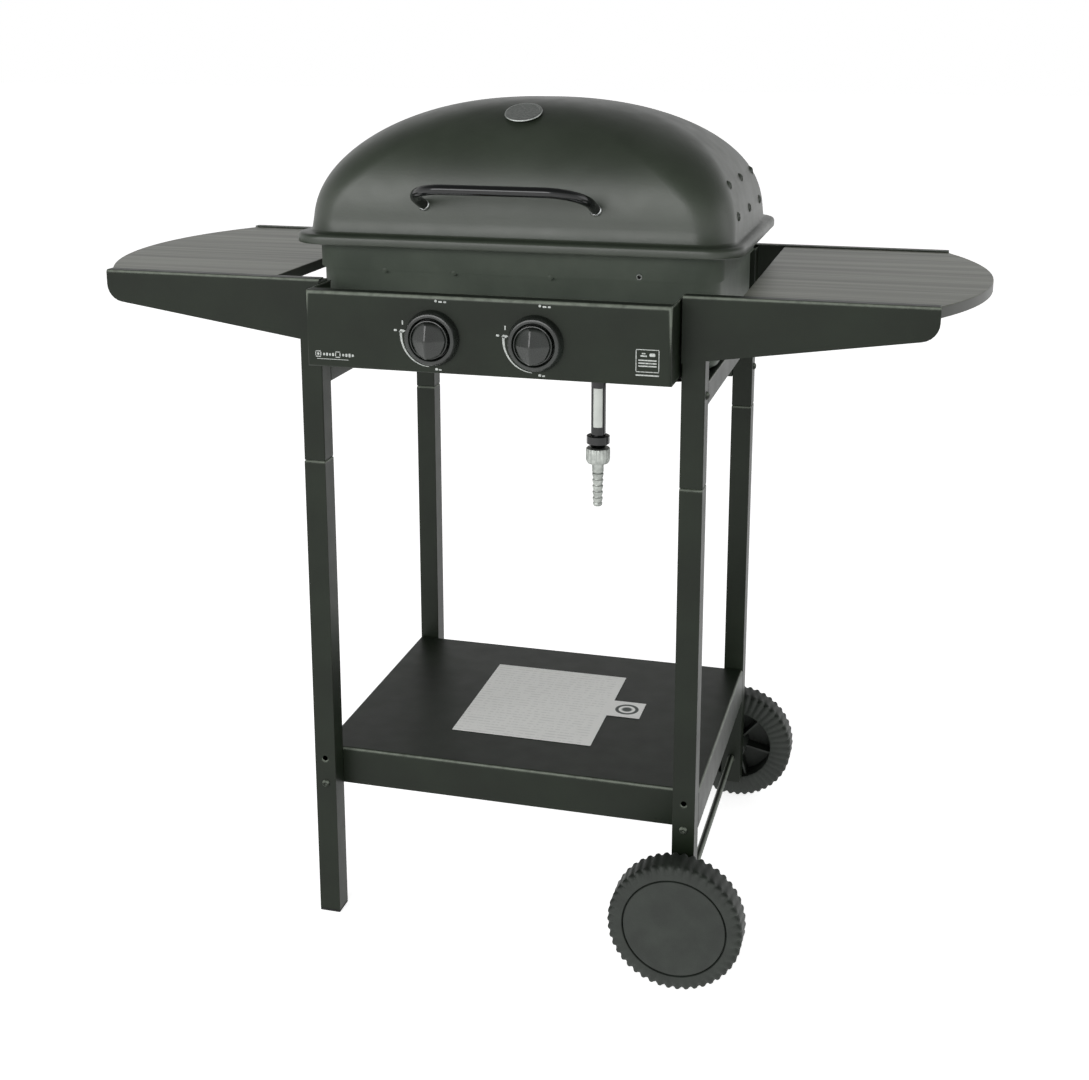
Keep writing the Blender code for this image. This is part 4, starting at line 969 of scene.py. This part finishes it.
# %% [markdown]
# ## Gas inlet
# A gloss black pipe comes down from the manifold with a plastic tag round it. Below it are the
# threaded fitting, a zinc union nut with shallow flutes for grip, and a barbed hose tail. The nut
# could be a cylinder with grooves cut by a boolean; the lathe's teeth give the same flutes with
# clean faces. The barbs point up, so that a hose slides on and doesn't come off.

# %% Tag
inlet = centre_of("hose_tail")
TAG_START, TAG_SWEEP, TAG_STEPS = -116, 70, 20              # degrees round the pipe, and steps
tag_angles = [math.radians(TAG_START + TAG_SWEEP * i / TAG_STEPS) for i in range(TAG_STEPS + 1)]
shape = bmesh.new()
tag_rows = []
for radius in (8.06 * MM, 8.22 * MM):
    for z in (0.6300, 0.6715):
        tag_rows.append([shape.verts.new((inlet.x + radius * math.cos(angle),
                                          inlet.y + radius * math.sin(angle), z)) for angle in tag_angles])
inner_low, inner_high, outer_low, outer_high = tag_rows
for i in range(TAG_STEPS):
    shape.faces.new((outer_low[i], outer_low[i + 1], outer_high[i + 1], outer_high[i]))
    shape.faces.new((inner_low[i + 1], inner_low[i], inner_high[i], inner_high[i + 1]))
    shape.faces.new((inner_low[i], inner_low[i + 1], outer_low[i + 1], outer_low[i]))
    shape.faces.new((outer_high[i], outer_high[i + 1], inner_high[i + 1], inner_high[i]))
for i in (0, TAG_STEPS):
    shape.faces.new((inner_low[i], outer_low[i], outer_high[i], inner_high[i]))
make_piece("inlet_tag", shape, polyester_label, "cart")
print("the inlet is at x =", round(inlet.x / MM, 1), "mm")

# %% Union nut and hose tail
FLUTES = 20
BARBS, BARB_PITCH = 5, 6.6 * MM
nut_low, nut_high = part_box("union_nut")
tail_low, tail_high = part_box("hose_tail")
nut_frame = Matrix.Translation((inlet.x, inlet.y, 0.0))
top, foot = nut_high.z, nut_low.z
shape = bmesh.new()
turn_on_lathe(shape, [(11.4 * MM, top), (12.4 * MM, top - 0.6 * MM, 0.2 * MM, 0.0),
                      (12.8 * MM, top - 1.6 * MM, 0.45 * MM, 0.0),
                      (12.8 * MM, foot + 4.4 * MM, 0.45 * MM, 0.0),
                      (12.2 * MM, foot + 1.8 * MM, 0.2 * MM, 0.0), (11.0 * MM, foot), (6.6 * MM, foot),
                      (6.6 * MM, top)], nut_frame, FLUTES * 8, closed=True, teeth=FLUTES)
make_piece("fluted_union_nut", shape, die_cast_zinc, "cart", ("union_nut",))

z = foot - 10.2 * MM
tail = [(0.0, tail_high.z), (6.2 * MM, tail_high.z), (6.2 * MM, foot - 9.0 * MM), (5.9 * MM, z)]
for i in range(BARBS):
    wide = (6.1 - 0.17 * i) * MM
    tail += [(wide - 0.9 * MM, z - 0.6 * MM), (wide, z - 1.6 * MM), (wide - 0.1 * MM, z - 3.2 * MM),
             (wide - 1.1 * MM, z - 6.4 * MM)]
    z -= BARB_PITCH
end_z = tail_low.z
tail += [(5.0 * MM, z - 0.8 * MM), (4.9 * MM, end_z + 1.4 * MM), (4.0 * MM, end_z + 0.2 * MM),
         (3.2 * MM, end_z), (2.9 * MM, end_z + 0.4 * MM), (2.9 * MM, end_z + 6.0 * MM),
         (0.0, end_z + 6.0 * MM)]
shape = bmesh.new()
turn_on_lathe(shape, tail, nut_frame, 48)
make_piece("barbed_hose_tail", shape, die_cast_zinc, "cart", ("hose_tail",), sharp=40)
print("hose tail length:", round((tail_high.z - tail_low.z) * 1000, 1), "mm")

# %% [markdown]
# ## Firebox trim
# Three nibs are pressed out of the wall just above the step that carries the grates, and a
# lighting hole with a small bright eyelet lets a match through. Both break up the long plain wall.
# They are turned pieces set on the wall, so that the firebox itself stays a simple folded form.

# %% Nibs and eyelet
WALL_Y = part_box("firebox")[0].y + 6.0 * MM
NIB_PLACES, NIB_Z = (-0.145, -0.065, 0.045), 0.7725
EYELET_X, EYELET_Z = 0.143, 0.776
shape = bmesh.new()
for x in NIB_PLACES:
    turn_on_lathe(shape, [(0.0, 1.5 * MM), (1.4 * MM, 1.2 * MM), (3.4 * MM, 0.2 * MM),
                          (4.0 * MM, -0.4 * MM), (0.0, -0.4 * MM)],
                  facing((x, WALL_Y + 0.6 * MM, NIB_Z), (0, -1, 0.35)), 20)
make_piece("firebox_nibs", shape, box_paint, "cart")
shape = bmesh.new()
turn_on_lathe(shape, [(2.0 * MM, -0.5 * MM), (2.0 * MM, 0.7 * MM), (2.5 * MM, 1.0 * MM),
                      (3.1 * MM, 0.6 * MM), (3.3 * MM, 0.0)],
              facing((EYELET_X, WALL_Y, EYELET_Z), (0, -1, 0)), 32, closed=True)
make_piece("lighting_hole_eyelet", shape, die_cast_zinc, "cart")
print("nibs:", len(NIB_PLACES), "and one eyelet")

# %% [markdown]
# ## Bolts and screws
# Round-headed bolts hold the shelf and the rails to the legs, and smaller screws hold the hinges.
# A head is a low dome with a round socket. Copies of one object would do, but one mesh with all
# the heads of a kind keeps the list of pieces short. All are turned from one profile.

# %% Bolt heads on the cart
BOLT_RADIUS, SCREW_RADIUS = 4.6 * MM, 2.8 * MM
LEG_X, LEG_FROM_MIDDLE_Y, TUBE_HALF = 0.2125, 0.1875, 0.0125
SHELF_BOLT_Z, TOP_BOLT_Z, REAR_BOLT_Z = 0.168, 0.6615, 0.6125


def bolt_head(shape, place, axis, radius):
    """A button head with a socket, resting on a surface."""
    profile = [(0.0, 0.28), (0.40, 0.28), (0.42, 0.60), (0.52, 0.62), (0.78, 0.46), (0.96, 0.18),
               (1.0, 0.0), (0.0, 0.0)]
    turn_on_lathe(shape, [(across * radius, up * radius) for across, up in profile],
                  facing(place, axis), 24)


shape = bmesh.new()
heads = 0
for _, sign_x in SIDES:
    for _, sign_y in ENDS:
        leg_y = CART_MIDDLE_Y + sign_y * LEG_FROM_MIDDLE_Y
        face_y = leg_y + sign_y * TUBE_HALF
        bolt_head(shape, (sign_x * LEG_X, face_y, SHELF_BOLT_Z), (0, sign_y, 0), BOLT_RADIUS)
        for z in (TOP_BOLT_Z, REAR_BOLT_Z) if sign_y > 0 else (TOP_BOLT_Z,):
            bolt_head(shape, (sign_x * (LEG_X + TUBE_HALF), leg_y, z), (sign_x, 0, 0), BOLT_RADIUS)
            heads += 1
        heads += 1
make_piece("cart_bolt_heads", shape, powder_coat, "cart")
print("bolt heads on the cart:", heads)

# %% Hinge screws
for part, body, offsets, screw_z in (("base", "cart", (-7.5 * MM, 5.0 * MM), 0.7855),
                                     ("ear", "lid", (-5.0 * MM, 7.8 * MM), 0.8245)):
    shape = bmesh.new()
    for side, _ in SIDES:
        plate_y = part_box(f"hinge_{part}_{side}")[0].y + 2.0 * MM
        pin_x = centre_of(f"hinge_pin_{side}").x
        for offset in offsets:
            bolt_head(shape, (pin_x + offset, plate_y, screw_z), (0, 1, 0), SCREW_RADIUS)
    make_piece(f"hinge_{part}_screws", shape, die_cast_zinc, body)
    print(f"screws through each hinge {part}:", len(offsets))

# %% [markdown]
# ## Wheels
# A wheel is blow moulded in one piece: a tread with ribs on both shoulders, a flat outer face
# with a push-in cap, and a deep recess round the hub on the inner side, stiffened by spokes. Each
# rib could be a block in an array, but a mould flows them into the tread. So the ribs come from
# the same lathe function, with a cosine that pulls the shoulder rows inwards.

# %% Ribbed wheels and their caps
WHEEL_RADIUS, WHEEL_WIDTH, RIBS = 0.075, 0.035, 46
CAP_HOLE, HUB_RADIUS, AXLE_HOLE = 0.0578, 0.0134, 0.0043
SPOKES_INSIDE, FIRST_SPOKE = 6, 12                          # how many, and the first one's angle


def wheel_profile(hub_end):
    """Rows of (radius, height) and, on the shoulders, (radial cut, axial cut) between the ribs."""
    tread, back = WHEEL_RADIUS, -WHEEL_WIDTH
    outer_face = [(CAP_HOLE, -0.0012), (0.0586, -0.0002), (tread - 0.0110, -0.0001)]
    outer_shoulder = [(tread - 0.0080, -0.0002, 0.0, 0.0011), (tread - 0.0050, -0.0004, 0.0008, 0.0020),
                      (tread - 0.0026, -0.0007, 0.0016, 0.0024), (tread - 0.0008, -0.0016, 0.0026, 0.0022),
                      (tread, -0.0034, 0.0026, 0.0008), (tread, -0.0056, 0.0018, 0.0),
                      (tread - 0.0004, -0.0072, 0.0003, 0.0)]
    inner_shoulder = [(tread - 0.0004, -0.0276, 0.0003, 0.0), (tread, -0.0292, 0.0018, 0.0),
                      (tread, -0.0316, 0.0026, -0.0008), (tread - 0.0010, -0.0340, 0.0026, -0.0020),
                      (tread - 0.0035, back, 0.0012, -0.0012)]
    recess = [(0.0490, back), (0.0475, back + 0.0010), (0.0470, -0.0080), (0.0155, -0.0080)]
    hub = [(0.0140, hub_end + 0.0006), (HUB_RADIUS, hub_end), (AXLE_HOLE, hub_end), (AXLE_HOLE, -0.0045),
           (CAP_HOLE, -0.0045)]
    return outer_face + outer_shoulder + inner_shoulder + recess + hub


for end, sign in ENDS:
    cap_low, cap_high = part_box(f"wheel_cap_{end}")
    wheel_low, wheel_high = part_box(f"wheel_{end}")
    face_y, inner_y = (cap_low.y, wheel_high.y) if sign < 0 else (cap_high.y, wheel_low.y)
    hub = facing(((cap_low.x + cap_high.x) / 2, face_y, (cap_low.z + cap_high.z) / 2), (0, sign, 0))
    shape = bmesh.new()
    turn_on_lathe(shape, wheel_profile(-abs(inner_y - face_y)), hub, RIBS * 6, closed=True, teeth=RIBS)
    for spoke in range(SPOKES_INSIDE):
        spin = Matrix.Rotation(math.radians(360 / SPOKES_INSIDE * spoke + FIRST_SPOKE), 4, "Z")
        add_block(shape, (0.0138, -0.0013, -0.0270), (0.0476, 0.0013, -0.0070), hub @ spin)
    make_piece(f"ribbed_wheel_{end}", shape, polypropylene, f"wheel_{end}",
               (f"wheel_{end}",), sharp=40)
    shape = bmesh.new()
    turn_on_lathe(shape, [(0.0, 0.0), (0.0545, 0.0), (0.0562, -0.0004), (0.0569, -0.0014),
                          (0.0570, -0.0025), (0.0, -0.0025)], hub, 96)
    make_piece(f"push_in_cap_{end}", shape, polypropylene, f"wheel_{end}",
               (f"wheel_cap_{end}",))
print("ribs per wheel:", RIBS, "spaced", round(2 * math.pi * WHEEL_RADIUS / RIBS * 1000, 1), "mm")

# %% [markdown]
# ## Cooking grates
# The grates are welded wire, enamelled afterwards: a thick rim wire with round corners, thinner
# bars from front to back, and one cross bar under them. An array of cylinders can't follow the
# round corners, so each bar is a line with its own length, given its thickness by a round bevel.

# %% Wire grates
RIM_RADIUS, WIRE_RADIUS, GRATE_CORNER = 3.0 * MM, 2.2 * MM, 30 * MM
BAR_GAPS = 13                # gaps between the bars across a grate
for side, sign in SIDES:
    low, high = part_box(f"cooking_grate_{side}")
    rim_z, bar_z, cross_z = high.z - RIM_RADIUS, high.z - 0.9 * MM - WIRE_RADIUS, low.z + WIRE_RADIUS
    near = min(abs(low.x), abs(high.x)) + RIM_RADIUS
    far = max(abs(low.x), abs(high.x)) - RIM_RADIUS
    front, back = low.y + RIM_RADIUS, high.y - RIM_RADIUS
    loop = [(near, front), *arc((far - GRATE_CORNER, front + GRATE_CORNER), GRATE_CORNER, -90, 0, 10),
            *arc((far - GRATE_CORNER, back - GRATE_CORNER), GRATE_CORNER, 0, 90, 10), (near, back)]
    rim_mesh = bar_mesh("rim", [([(sign * x, y, rim_z) for x, y in loop], True)], RIM_RADIUS, 4)
    bars = []
    for i in range(1, BAR_GAPS):
        x = near + (far - near) * i / BAR_GAPS
        into_corner = max(0.0, x - (far - GRATE_CORNER)) / GRATE_CORNER
        trim = GRATE_CORNER * (1 - math.sqrt(max(0.0, 1 - into_corner ** 2)))
        bars.append(([(sign * x, front + trim, bar_z), (sign * x, back - trim, bar_z)], False))
    middle_y = (front + back) / 2
    bars.append(([(sign * near, middle_y, cross_z), (sign * far, middle_y, cross_z)], False))
    bars_mesh = bar_mesh("bars", bars, WIRE_RADIUS, 3)
    place_mesh(f"grate_rim_wire_{side}", rim_mesh, vitreous, "cart",
               (f"cooking_grate_{side}",))
    place_mesh(f"grate_bars_{side}", bars_mesh, vitreous, "cart")
    print(f"bars in the {side} grate:", len(bars))
